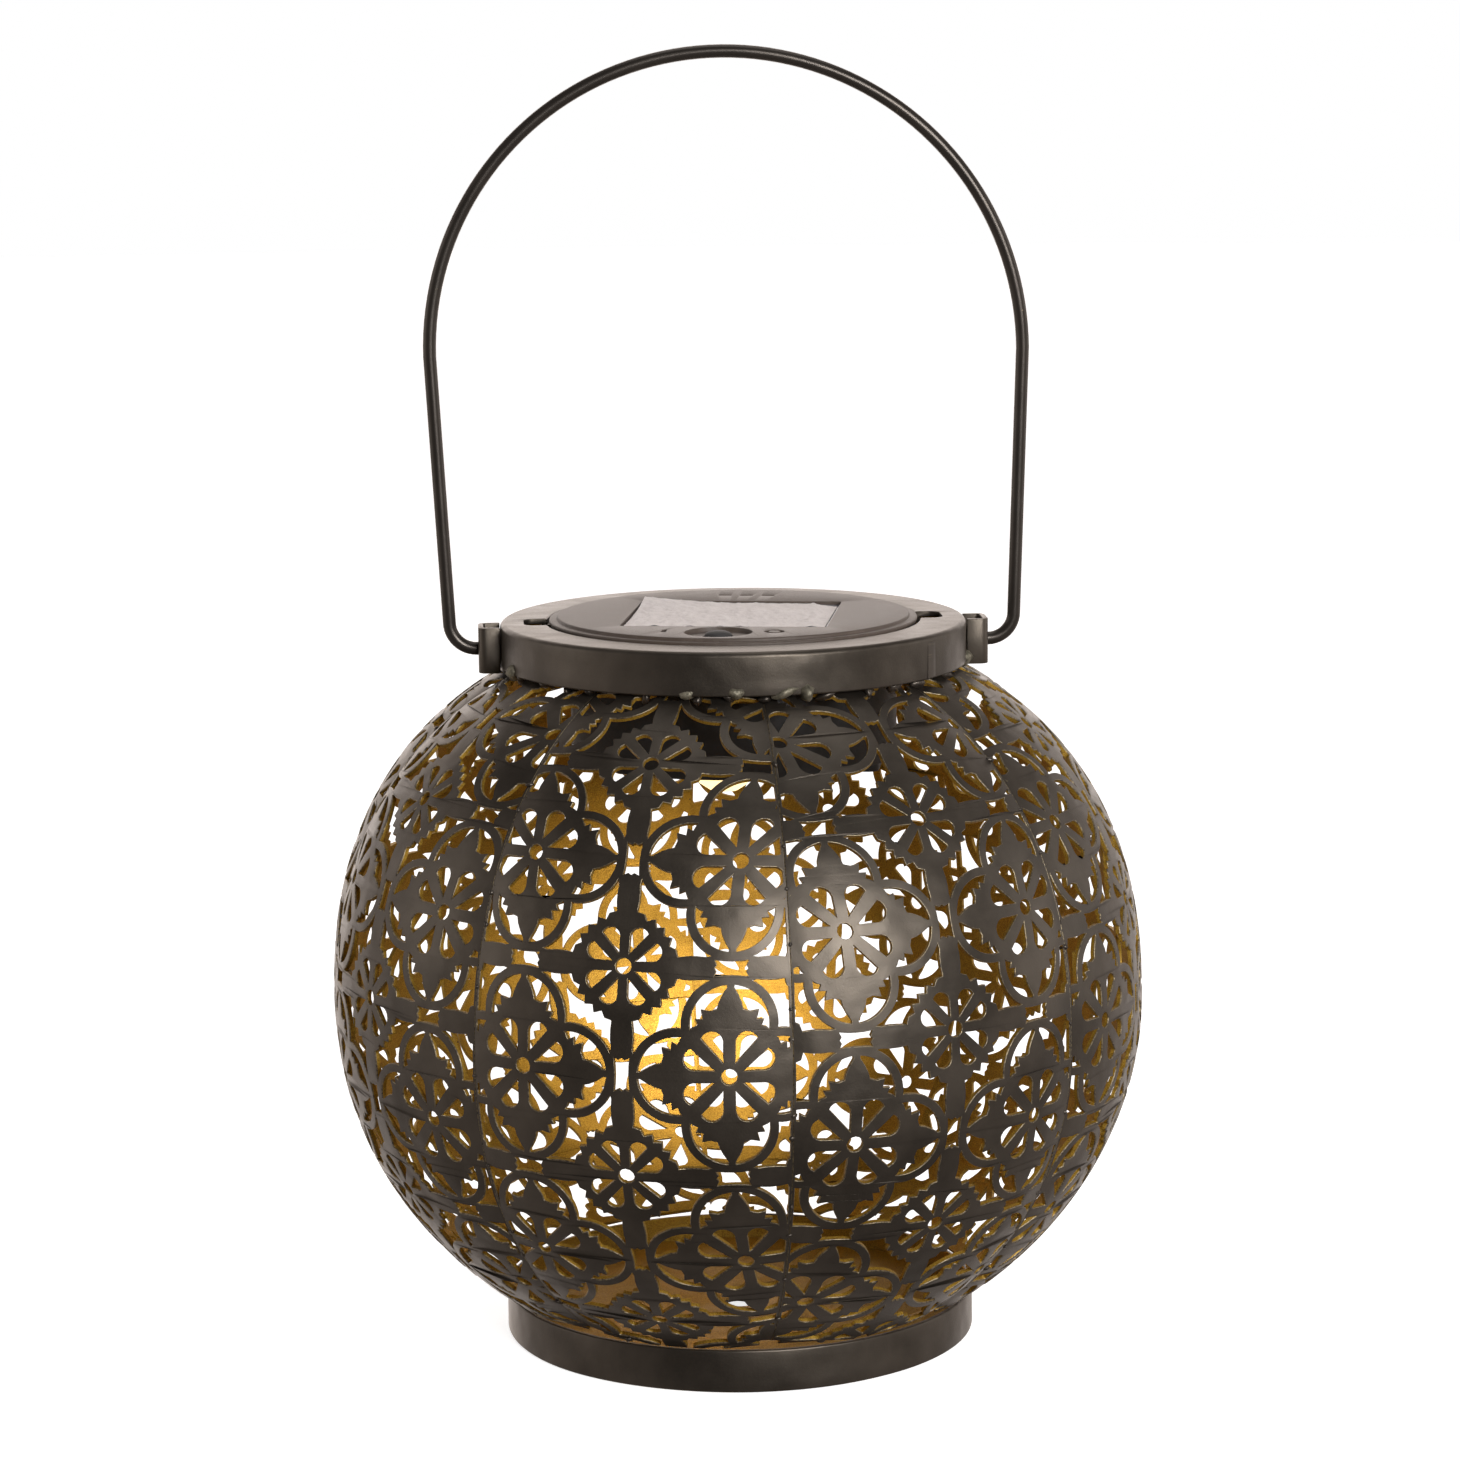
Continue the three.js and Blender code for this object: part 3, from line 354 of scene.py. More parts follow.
def silicon_cell(tree, place, colour):
    """Crystalline cell: blue-black flakes, fine silver fingers and two wider bars."""
    across, along, _ = tree.split(place)
    flakes = tree.node("ShaderNodeTexVoronoi", inputs={"Vector": place, "Scale": 0.35}, output="Color")
    tint = tree.split(flakes)[0]
    fingers = (across * 0.55).applied("FRACT") < 0.09
    bars = (along * 0.085).applied("FRACT") < 0.07
    lines = fingers.applied("MAXIMUM", bars)
    crystal = tree.mixed(tint, colour, shade_of(colour, 3.2, 0.004))
    base = tree.mixed(lines, crystal, (0.45, 0.46, 0.48))
    close_finish(tree, base, 0.28 + 0.25 * lines, 0.35 * lines, lines, 0.03, coat_weight=0.6)


def wrinkled_film(tree, place, colour):
    """Clear-backed film gone milky, a little darker where it lies on the cell."""
    folds = tree.noise(tree.vector("MULTIPLY", place, (0.5, 0.16, 1.0)), 1.0, 5.0, 0.6)
    bubbles = tree.node("ShaderNodeTexVoronoi", inputs={"Vector": place, "Scale": 1.1})
    stuck = tree.ramp(folds, (0.30, 1.0), (0.42, 0.0))
    base = tree.mixed(tree.ramp(folds, (0.4, 0.0), (0.7, 1.0)), colour, (0.86, 0.80, 0.785))
    base = tree.mixed(0.22 * stuck, base, (0.56, 0.51, 0.50))
    close_finish(tree, base, 0.52 + 0.2 * folds, 0.0, folds * 4.0 + bubbles, 0.06)


def circuit_laminate(tree, place):
    """Green laminate with copper tracks under the lacquer."""
    weave = tree.noise(place, 2.5, 2.0)
    tracks = tree.node(
        "ShaderNodeTexWave",
        {"wave_type": "BANDS", "bands_direction": "DIAGONAL"},
        {"Vector": place, "Scale": 0.12, "Distortion": 5.0, "Detail": 0.0},
        "Fac",
    )
    track = tree.ramp(tracks, (0.62, 0.0), (0.66, 1.0))
    base = tree.mixed(track, (0.012, 0.10, 0.035), (0.05, 0.20, 0.055))
    close_finish(tree, base, 0.34 + 0.12 * weave, 0.0, track + 0.3 * weave, 0.03)


def battery_wrap(tree, place):
    """Printed shrink wrap: green with a silver band at the positive end."""
    along = tree.split(place)[0]
    crinkle = tree.noise(tree.vector("MULTIPLY", place, (2.0, 0.4, 0.4)), 1.0, 3.0)
    band = along > 16.5
    base = tree.mixed(band, (0.02, 0.16, 0.07), (0.55, 0.56, 0.57))
    base = tree.mixed(0.3 * crinkle, base, (0.01, 0.03, 0.02))
    close_finish(tree, base, 0.28 + 0.2 * crinkle, 0.6 * band, crinkle, 0.05)


def plated_metal(tree, place, colour):
    """Nickel or zinc plating with fine scratches."""
    scratches = tree.noise(tree.vector("MULTIPLY", place, (0.6, 6.0, 6.0)), 1.0, 3.0)
    haze = tree.noise(place, 0.7, 3.0)
    base = tree.mixed(haze, colour, shade_of(colour, 0.72))
    close_finish(tree, base, 0.22 + 0.22 * scratches, 0.95, scratches, 0.02)


def rough_weld(tree, place, colour):
    """Dull bare weld metal, darker in its hollows."""
    crust = tree.noise(place, 0.9, 4.0, 0.6)
    base = tree.mixed(tree.ramp(crust, (0.35, 0.0), (0.65, 1.0)), shade_of(colour, 0.35), colour)
    close_finish(tree, base, 0.42 + 0.2 * crust, 0.6, crust, 0.25)


def glowing_plastic(tree, place, colour, strength):
    """Milky plastic lit from behind by the lamp."""
    haze = tree.noise(place, 0.9, 3.0)
    light = tree.mixed(haze, colour, shade_of(colour, 0.8))
    close_finish(
        tree,
        (0.86, 0.84, 0.78),
        0.30 + 0.2 * haze,
        0.0,
        haze,
        0.04,
        emission_color=light,
        emission_strength=strength,
    )


def studio_paper(tree, place):
    """White seamless paper, with a faint tooth."""
    tooth = tree.noise(place, 0.4, 3.0)
    base = tree.mixed(tooth, (0.90, 0.90, 0.90), (0.93, 0.93, 0.93))
    glow = {"emission_color": (1, 1, 1, 1), "emission_strength": 0.80}
    close_finish(tree, base, 0.75 + 0.1 * tooth, 0.0, tooth, 0.02, **glow)


def metal_finish(colours):
    """The two-tone sheet finish."""
    tones = (colours.bronze, colours.bronze_dark, colours.worn, colours.gilt, colours.gilt_deep)
    return finish("bronze_and_gilt_sheet", bronze_and_gilt, *tones)


def band_finish(colours):
    """The bronze of the bands."""
    return finish("rubbed_bronze", brushed_bronze, colours.bronze, colours.bronze_dark, colours.worn)


def wire_finish(colours):
    """The darker, smoother bronze of the wire."""
    return finish("lacquered_wire", lacquered_wire, colours.bronze_dark, colours.worn)


# ---- Meshes ----------------------------------------------------------------------------------


def add_object(name, data):
    made = bpy.data.objects.new(name, data)
    bpy.context.scene.collection.objects.link(made)
    return made


def mesh_object(name, points, faces):
    """A mesh object from points in millimetres."""
    mesh = bpy.data.meshes.new(name)
    mesh.from_pydata([tuple(c * MM for c in point) for point in points], [], faces)
    return add_object(name, mesh)


def revolved(name, profile, steps=144, wobble=None):
    """A closed solid from a profile of (radius, height) in mm, drawn anticlockwise.
    A wobble gives a change of radius in mm for a turn and a height."""
    points, faces, rows = [], [], []
    for radius, height in profile:
        if radius < 1e-6:
            rows.append([len(points)] * steps)
            points.append((0.0, 0.0, height))
            continue
        rows.append(list(range(len(points), len(points) + steps)))
        for step in range(steps):
            turn = 2 * math.pi * step / steps
            reach = radius + (wobble(turn, height) if wobble else 0.0)
            points.append((reach * math.sin(turn), -reach * math.cos(turn), height))
    for low, high in zip(rows, rows[1:] + rows[:1]):
        for step in range(steps):
            after = (step + 1) % steps
            corners = [low[step], low[after], high[after], high[step]]
            kept = [c for i, c in enumerate(corners) if c not in corners[:i]]
            if len(kept) > 2:
                faces.append(kept)
    return mesh_object(name, points, faces)


def settle(obj):
    """Applies an object's modifiers to its mesh."""
    graph = bpy.context.evaluated_depsgraph_get()
    graph.update()
    mesh = bpy.data.meshes.new_from_object(
        obj.evaluated_get(graph), preserve_all_data_layers=True, depsgraph=graph
    )
    obj.modifiers.clear()
    if obj.type == "MESH":
        old, obj.data = obj.data, mesh
        bpy.data.meshes.remove(old)
        return obj
    name = obj.name
    bpy.data.objects.remove(obj)
    return add_object(name, mesh)


def cut(obj, *cutters, operation="DIFFERENCE"):
    """Cuts the cutters out of a piece, or joins them on."""
    for cutter in cutters:
        modifier = obj.modifiers.new("cut", "BOOLEAN")
        modifier.operation = operation
        modifier.object = cutter
        modifier.solver = "EXACT"
    settle(obj)
    for cutter in cutters:
        bpy.data.objects.remove(cutter)
    return obj


def soften(obj, width=0.2, segments=2, angle=35):
    """Rounds the sharp edges of a piece, by a width in mm."""
    modifier = obj.modifiers.new("soften", "BEVEL")
    modifier.width = width * MM
    modifier.segments = segments
    modifier.limit_method = "ANGLE"
    modifier.angle_limit = math.radians(angle)
    modifier.use_clamp_overlap = True
    return settle(obj)


def thicken(obj, depth):
    """Gives a sheet its thickness, in mm below its points."""
    modifier = obj.modifiers.new("thickness", "SOLIDIFY")
    modifier.thickness = depth * MM
    modifier.offset = -1
    return settle(obj)


def smooth(obj, angle=32):
    """Smooth shading that keeps edges over the angle crisp."""
    mesh = obj.data
    mesh.polygons.foreach_set("use_smooth", [True] * len(mesh.polygons))
    build = bmesh.new()
    build.from_mesh(mesh)
    limit = math.radians(angle)
    for edge in build.edges:
        edge.smooth = len(edge.link_faces) == 2 and edge.calc_face_angle(0.0) < limit
    build.to_mesh(mesh)
    build.free()
    return obj


def frame_copy(node, name, flat=True):
    """A merged copy of a frame node, with its flat faces joined up."""
    made = add_object(name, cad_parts[node].data.copy())
    build = bmesh.new()
    build.from_mesh(made.data)
    bmesh.ops.remove_doubles(build, verts=build.verts, dist=1e-6)
    if flat:
        bmesh.ops.dissolve_limit(
            build, angle_limit=math.radians(0.6), verts=build.verts, edges=build.edges
        )
    build.to_mesh(made.data)
    build.free()
    return made


def prism(name, outline, low, high):
    """An upright solid between two heights, from an anticlockwise outline in mm."""
    count = len(outline)
    points = [(x, y, z) for z in (low, high) for x, y in outline]
    sides = [(i, (i + 1) % count, count + (i + 1) % count, count + i) for i in range(count)]
    caps = [tuple(reversed(range(count))), tuple(range(count, 2 * count))]
    return mesh_object(name, points, sides + caps)


def arc(centre, radius, start, end, spacing=0.8):
    """Points along an arc, with angles in degrees and lengths in mm."""
    span = math.radians(end - start)
    count = max(3, math.ceil(abs(span) * radius / spacing))
    turns = [math.radians(start) + span * i / count for i in range(count + 1)]
    return [(centre[0] + radius * math.cos(t), centre[1] + radius * math.sin(t)) for t in turns]


def line(start, end, spacing=1.6):
    """Points from a start up to, but not with, the end."""
    count = max(1, round(math.dist(start, end) / spacing))
    return [tuple(a + (b - a) * i / count for a, b in zip(start, end)) for i in range(count)]


def rounded_box(width, depth, corner, centre=(0, 0)):
    """Outline of a rounded rectangle, anticlockwise."""
    outline = []
    for turn, (x, y) in enumerate([(1, 1), (-1, 1), (-1, -1), (1, -1)]):
        middle = (
            centre[0] + x * (width / 2 - corner),
            centre[1] + y * (depth / 2 - corner),
        )
        outline += arc(middle, corner, 90 * turn, 90 * turn + 90, corner / 4 + 0.05)
    return outline


def circle(radius, steps=48, centre=(0, 0)):
    turns = [2 * math.pi * i / steps for i in range(steps)]
    return [(centre[0] + radius * math.cos(t), centre[1] + radius * math.sin(t)) for t in turns]


def turned(obj, angle):
    """Turns a piece's mesh about the upright axis."""
    obj.data.transform(Matrix.Rotation(angle, 4, "Z"))
    return obj


def facing_gilt(obj, is_gilt):
    """Writes the two-tone attribute: 1 on the faces that the test picks, from their middle and normal."""
    layer = obj.data.attributes.new("gilt", "FLOAT", "FACE")
    values = [float(is_gilt(face.center, face.normal)) for face in obj.data.polygons]
    layer.data.foreach_set("value", values)
    return obj


def place_piece(obj, body, slot, material, *nodes):
    """Gives a finished piece its finish and its body, and hides the frame nodes that it stands for."""
    obj.data.materials.clear()
    obj.data.materials.append(material)
    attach(obj, body)
    if nodes:
        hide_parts(*nodes)
    return obj


def place_copy(node, name, slot, material, width, segments=2):
    """Puts a softened copy of one of the lamp unit's nodes in its place."""
    piece = smooth(soften(frame_copy(node, name), width, segments, 40))
    place_piece(piece, "lamp_unit", slot, material, node)


def repaint(node, material):
    """Gives a frame node that is shown as it is a finish."""
    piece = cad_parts[node]
    piece.data.materials.clear()
    piece.data.materials.append(material)


# ---- The globe's form ------------------------------------------------------------------------


COLLAR_CLEARANCE = 1.6  # between the gores' upper ends and the inside of the collar's band
FOOT_OVER_RING = 0.3
FOOT_INSIDE_RING = 0.2
STATIONS = 241  # along the profile


class GlobeForm:
    """Outer profile of the globe, from the ring's edge up into the collar."""

    def __init__(self, sizes, bands):
        collar_low = edge_mm("collar_ring", 2, 0)
        collar_inside = edge_mm("collar_ring", 0) - bands.band - COLLAR_CLEARANCE
        foot = edge_mm("base_ring", 2) + FOOT_OVER_RING
        foot_radius = edge_mm("base_ring", 0) - FOOT_INSIDE_RING
        self.sizes = sizes
        self.low, self.high = foot, collar_low + sizes.tuck
        self.upper = self.closing(collar_inside, collar_low - sizes.waist, sizes.upper_roundness)
        self.lower = self.closing(foot_radius, sizes.waist - foot, sizes.lower_roundness)
        heights = np.linspace(self.low, self.high, STATIONS)
        self.stations = [(self.radius(z), z) for z in heights]
        steps = [math.dist(a, b) for a, b in zip(self.stations, self.stations[1:])]
        self.along = np.concatenate([[0], np.cumsum(steps)])
        self.length = float(self.along[-1])
        self.waist = float(np.interp(sizes.waist, heights, self.along))

    def closing(self, radius, rise, roundness):
        """Height over the waist at which a curve through (radius, rise) closes on the axis."""
        return rise / (1 - (radius / self.sizes.radius) ** roundness) ** (1 / roundness)

    def radius(self, height):
        rise = height - self.sizes.waist
        above = rise > 0
        reach = self.upper if above else self.lower
        power = self.sizes.upper_roundness if above else self.sizes.lower_roundness
        return self.sizes.radius * (1 - abs(rise / reach) ** power) ** (1 / power)

    def gore_outline(self, inset=0.0, ends=0.0):
        """Flat outline of a gore, drawn in from its seams and out past its two ends."""
        share = math.pi / self.sizes.gores
        inset += self.sizes.seam_gap / 2
        right = [
            (radius * share - inset, along)
            for (radius, _), along in list(zip(self.stations, self.along))[::3]
        ]
        right[0] = (right[0][0], right[0][1] - ends)
        right[-1] = (right[-1][0], right[-1][1] + ends)
        return right + [(-x, y) for x, y in reversed(right)]


# ---- Pierced pattern -------------------------------------------------------------------------

DRAWN_PITCH = 36.8  # the motifs below are drawn for this pitch, in mm
LOBE_CENTRE = 8.9  # from a medallion's middle to the centre of each of its four lobes
LOBE_INSIDE = 6.85
LOBE_OUTSIDE = 8.2
HUB_HOLE = 1.5


def mirrored(outline):
    """The outline on the other side of the upright axis, still drawn the same way round."""
    return [(-x, y) for x, y in reversed(outline)]


def quarter_turns(outline):
    """The outline at each quarter of a turn."""
    return [
        outline,
        [(-y, x) for x, y in outline],
        [(-x, -y) for x, y in outline],
        [(y, -x) for x, y in outline],
    ]


def eightfold(outline):
    return [o for half in (outline, mirrored(outline)) for o in quarter_turns(half)]


def petal_hole(scale=1.0):
    """Hole between an upright spoke and a slanting one, round at its outer end."""
    tip = (0.95, 2.2)
    outline = line(tip, (0.98, 5.5)) + arc((3.0, 5.85), 2.05, 190, 20, 0.7)
    outline += line(outline[-1], tip)[1:]
    return [(scale * x, scale * y) for x, y in outline]


def crescent_hole():
    """Hole between a lobe's ring and the toothed edge of a leaf."""
    rim = arc((0, LOBE_CENTRE), LOBE_INSIDE, 85, -8)
    low_tooth = [(6.35, 8.3), (5.3, 8.75), (5.75, 9.75)]
    high_tooth = [(4.45, 9.8), (4.85, 11.4), (3.4, 11.1), (2.15, 11.5)]
    point = [(1.9, 12.6), (1.35, 13.8), (0.5, 15.2)]
    return rim + low_tooth + high_tooth + point


def corner_hole():
    """Hole of a flower, bounded by two bars, two neighbouring rings and a toothed edge."""
    half = DRAWN_PITCH / 2
    bar = [(1.72, 9.2), (1.92, 10.8), (1.95, 12.4), (1.8, 14.0)]
    ring = arc((half - LOBE_CENTRE, half), LOBE_OUTSIDE, 204.5, 275.4)
    side = bar + ring
    other = [(y, x) for x, y in reversed(side)]
    inner = [(19, 9.3), (25, 8.4), (32, 9.4), (38, 8.4)]
    teeth = inner + [(45, 9.4)] + [(90 - turn, r) for turn, r in reversed(inner)]
    edge = [
        (r * math.cos(math.radians(turn)), r * math.sin(math.radians(turn))) for turn, r in teeth
    ]
    return side + other[1:] + edge


def junction_hole(upright):
    """Slot between the outer edges of two rings that almost touch, half a pitch up."""
    quarter = [(1.25, 0.0), (1.3, 1.4), (1.45, 3.0), (0.55, 2.6), (0.0, 2.95)]
    upper = quarter + [(-x, y) for x, y in reversed(quarter[:-1])]
    outline = upper + [(-x, -y) for x, y in upper[1:-1]]
    if not upright:
        outline = [(-y, x) for x, y in outline]
    return [(x, y + DRAWN_PITCH / 2) for x, y in outline]


def medallion():
    holes = eightfold(petal_hole()) + eightfold(crescent_hole())
    return [circle(HUB_HOLE, 12)] + holes + [junction_hole(upright=False)]


def flower():
    holes = eightfold(petal_hole(0.84)) + quarter_turns(corner_hole())
    return [circle(HUB_HOLE, 12)] + holes + [junction_hole(upright=True)]


def curve_object(name, outlines, closed=True):
    """A curve object of straight pieces through flat points, in millimetres."""
    curve = bpy.data.curves.new(name, "CURVE")
    curve.dimensions = "3D"
    for outline in outlines:
        spline = curve.splines.new("POLY")
        spline.points.add(len(outline) - 1)
        spline.use_cyclic_u = closed
        for point, place in zip(spline.points, outline):
            point.co = (*place, 0, 1) if len(place) == 2 else (*place, 1)
    return add_object(name, curve)


# ---- Geometry node trees ---------------------------------------------------------------------

SHEET_SLAB, HOLE_SLAB, FIELD_SLAB = 1.0, 2.0, 4.0  # thick enough to cut one another cleanly
LATTICE_ROWS = 9
MOTIF_REACH = 0.62  # of the pitch, from a motif's middle to its furthest corner
LEAST_SHARE = 0.4  # of the sheet's area, under which a loose part is a scrap
LEAST_FACES = 1000
FIELD_BEYOND = 3.0  # how far the pierced field runs past the gore's ends
SAME_POINT = 0.001  # points closer than this, in mm, are one point of two joined parts
CLOSE_POINTS = 0.02  # points closer than this, in mm, are made one along the cut edges


def geometry_tree(name, inputs):
    """A node group with named inputs: returns it, its tree and the input values by name."""
    group = bpy.data.node_groups.new(name, "GeometryNodeTree")
    group.interface.new_socket("Geometry", in_out="OUTPUT", socket_type="NodeSocketGeometry")
    group.interface.new_socket("Geometry", in_out="INPUT", socket_type="NodeSocketGeometry")
    for label, kind in inputs.items():
        group.interface.new_socket(label, in_out="INPUT", socket_type="NodeSocket" + kind)
    tree = Tree(group.nodes, group.links)
    start = group.nodes.new("NodeGroupInput")
    values = {socket.name: Value(tree, socket) for socket in start.outputs if socket.name}
    return group, tree, values


def close_geometry(tree, geometry, material):
    """Ends a geometry tree with Realize Instances and Set Material."""
    real = tree.node("GeometryNodeRealizeInstances", inputs={0: geometry})
    painted = tree.node("GeometryNodeSetMaterial", inputs={0: real, "Material": material})
    tree.node("NodeGroupOutput", inputs={0: painted})


def run_tree(host, group, values):
    """Runs a geometry tree on a host object and bakes the result into a plain mesh."""
    modifier = host.modifiers.new(group.name, "NODES")
    modifier.node_group = group
    sockets = {
        item.name: item.identifier
        for item in group.interface.items_tree
        if item.item_type == "SOCKET" and item.in_out == "INPUT"
    }
    for label, value in values.items():
        modifier[sockets[label]] = value
    return settle(host)


def extruded(tree, geometry, rise, distance, **more):
    """Faces drawn out together, up (1) or down (-1), by a distance."""
    inputs = {0: geometry, "Offset": (0, 0, rise), "Offset Scale": distance, "Individual": False}
    return tree.node("GeometryNodeExtrudeMesh", {"mode": "FACES"}, {**inputs, **more})


def moved(tree, geometry, shift):
    return tree.node("GeometryNodeTransform", inputs={0: geometry, "Translation": shift})


def merged(tree, distance, *parts):
    """Parts in one mesh, with the points closer than the distance made one."""
    whole = tree.node("GeometryNodeJoinGeometry", inputs={0: list(parts)})
    return tree.node("GeometryNodeMergeByDistance", inputs={0: whole, "Distance": distance})


def without(tree, geometry, domain, unwanted):
    return tree.node("GeometryNodeDeleteGeometry", {"domain": domain}, {0: geometry, 1: unwanted})


def object_geometry(tree, value):
    return tree.node("GeometryNodeObjectInfo", inputs={"Object": value}, output="Geometry")


def motif_lattice(tree, given, motif, columns, rise):
    """Copies of a motif on every lattice point that reaches the gore."""
    pitch = given["Pitch"]
    grid = tree.node(
        "GeometryNodeMeshGrid",
        inputs={
            "Size X": pitch * (columns - 1),
            "Size Y": pitch * (LATTICE_ROWS - 1),
            "Vertices X": columns,
            "Vertices Y": LATTICE_ROWS,
        },
    )
    lifted = moved(tree, grid, tree.joined(0.0, rise, 0.0))
    points = tree.node("GeometryNodeMeshToPoints", inputs={0: lifted})
    height = tree.split(tree.node("GeometryNodeInputPosition"))[1]
    reach = MOTIF_REACH * pitch
    outside = (height < -1.0 * reach) + (height > given["Length"] + reach)
    kept = without(tree, points, "POINT", outside)
    copies = tree.node(
        "GeometryNodeInstanceOnPoints",
        inputs={0: kept, "Instance": object_geometry(tree, motif), "Scale": pitch / DRAWN_PITCH},
    )
    return tree.node("GeometryNodeRealizeInstances", inputs={0: copies})


def pierced_gore_tree():
    """Flat pierced sheet with rolled rims, one solid piece, wrapped onto the globe."""
    group, tree, given = geometry_tree(
        "pierced_gore",
        {
            "Outline": "Object",
            "Field": "Object",
            "Medallion": "Object",
            "Flower": "Object",
            "Profile": "Object",
            "Pitch": "Float",
            "Rise": "Float",
            "Length": "Float",
            "Middle": "Float",
            "Half angle": "Float",
            "Sheet": "Float",
            "Rim": "Float",
            "Dip": "Float",
            "Finish": "Material",
        },
    )
    profile = object_geometry(tree, given["Profile"])
    pitch = given["Pitch"]

    def profile_at(along):
        """Radius and height in mm, and the tangent, at a length along the profile."""
        found = tree.node(
            "GeometryNodeSampleCurve",
            {"mode": "LENGTH", "use_all_curves": True},
            {"Curves": profile, "Length": along},
            "Position",
        )
        radius, _, height = tree.split(found)
        outwards, _, upwards = tree.split(tree.other(found, "Tangent"))
        return radius, height, outwards, upwards

    def half_width(radius):
        return radius * given["Half angle"]

    # Flat sheet: the outline's slab, less the holes where they lie in the pierced field.
    def slab(curves, thickness):
        flat = tree.node("GeometryNodeFillCurve", {"mode": "TRIANGLES"}, {0: curves})
        raised = extruded(tree, flat, 1, thickness)
        under = tree.node("GeometryNodeFlipFaces", inputs={0: flat})
        return moved(tree, merged(tree, SAME_POINT, raised, under), (0, 0, -0.5 * thickness))

    def clipped(operation, first, *others):
        solver = {"operation": operation, "solver": "MANIFOLD"}
        if operation == "DIFFERENCE":
            inputs = {0: first, 1: list(others)}
        else:
            inputs = {1: [first, *others]}
        return tree.node("GeometryNodeMeshBoolean", solver, inputs)

    motifs = [
        motif_lattice(tree, given, given["Medallion"], 2, given["Rise"] + pitch * 0.5),
        motif_lattice(tree, given, given["Flower"], 3, given["Rise"]),
    ]
    holes = slab(tree.node("GeometryNodeJoinGeometry", inputs={0: motifs}), HOLE_SLAB)
    holes = clipped("INTERSECT", holes, slab(object_geometry(tree, given["Field"]), FIELD_SLAB))
    blank = slab(object_geometry(tree, given["Outline"]), SHEET_SLAB)
    pierced = clipped("DIFFERENCE", blank, holes)
    facing = tree.split(tree.node("GeometryNodeInputNormal"))[2]
    top = without(tree, pierced, "FACE", facing < 0.5)
    level = moved(tree, top, (0, 0, -0.5 * SHEET_SLAB))
    level = tree.node("GeometryNodeMergeByDistance", inputs={0: level, "Distance": CLOSE_POINTS})

    # One connected piece: loose scraps hold far less than half of the sheet.
    area = tree.node("GeometryNodeInputMeshFaceArea")
    island = tree.node("GeometryNodeInputMeshIsland")
    own = tree.node(
        "GeometryNodeAccumulateField", {"domain": "FACE"}, {0: area, 1: island}, "Total"
    )
    everything = tree.node("GeometryNodeAccumulateField", {"domain": "FACE"}, {0: area}, "Total")
    scraps = own < LEAST_SHARE * everything
    sheet = without(tree, level, "FACE", scraps)

    # Rim: the back is pushed down a little and widened, then pushed down by the rest.
    down = tree.node("GeometryNodeFlipFaces", inputs={0: sheet})
    rim = given["Rim"]
    first = extruded(tree, down, -1, rim)
    is_top, is_side = tree.other(first, "Top"), tree.other(first, "Side")
    facing = tree.node("GeometryNodeInputNormal")
    side_facing = tree.scaled(facing, is_side)
    wall = tree.vector("NORMALIZE", on_domain(tree, side_facing, "POINT", "FLOAT_VECTOR"))
    named = store(tree, first, "wall", wall, "FLOAT_VECTOR", "POINT")
    named = store(tree, named, "kind", 1.0 * is_side + 3.0 * is_top, "FLOAT", "FACE")
    is_low = tree.split(tree.node("GeometryNodeInputPosition"))[2] < -0.5 * rim
    widened = tree.node(
        "GeometryNodeSetPosition",
        inputs={0: named, "Selection": is_low, "Offset": tree.scaled(wall, rim)},
    )
    is_back = read(tree, "kind", "FLOAT") > 2.5
    second = extruded(tree, widened, -1, given["Sheet"] - rim, Selection=is_back)
    walls = store(tree, second, "kind", 2.0, "FLOAT", "FACE", tree.other(second, "Side"))
    outer = store(tree, sheet, "kind", 0.0, "FLOAT", "FACE")
    outer = store(tree, outer, "wall", (0.0, 0.0, 0.0), "FLOAT_VECTOR", "POINT")
    solid = merged(tree, SAME_POINT, walls, outer)

    # Wrap onto the globe. The seams lie in shallow valleys.
    across, along, depth = tree.split(tree.node("GeometryNodeInputPosition"))
    radius, height, outwards, upwards = profile_at(along)
    turn = given["Middle"] + across / radius
    cosine, sine = turn.applied("COSINE"), turn.applied("SINE")
    east = tree.joined(cosine, sine, 0.0)
    out = tree.joined(sine, -1.0 * cosine, 0.0)
    share = across / half_width(radius)
    dip = given["Dip"] * share * share * share * share
    level = depth - dip
    normal = tree.vector("ADD", tree.scaled(out, upwards), tree.joined(0.0, 0.0, -1.0 * outwards))
    tangent = tree.vector("ADD", tree.scaled(out, outwards), tree.joined(0.0, 0.0, upwards))
    place = tree.vector("ADD", tree.scaled(out, radius), tree.joined(0.0, 0.0, height))
    place = tree.vector("ADD", place, tree.scaled(normal, level))
    slope = 4.0 * given["Dip"] * share * share * share / half_width(radius)
    leaning = tree.vector("NORMALIZE", tree.vector("ADD", normal, tree.scaled(east, slope)))
    flat_wall = read(tree, "wall", "FLOAT_VECTOR")
    wall_x, wall_y, _ = tree.split(flat_wall)
    wall_facing = tree.vector("ADD", tree.scaled(east, wall_x), tree.scaled(tangent, wall_y))
    marked = store(tree, solid, "outer_normal", leaning, "FLOAT_VECTOR", "POINT")
    marked = store(tree, marked, "wall_normal", wall_facing, "FLOAT_VECTOR", "POINT")
    marked = store(tree, marked, "level", depth, "FLOAT", "POINT")
    wrapped = tree.node(
        "GeometryNodeSetPosition", inputs={0: marked, "Position": tree.scaled(place, MM)}
    )

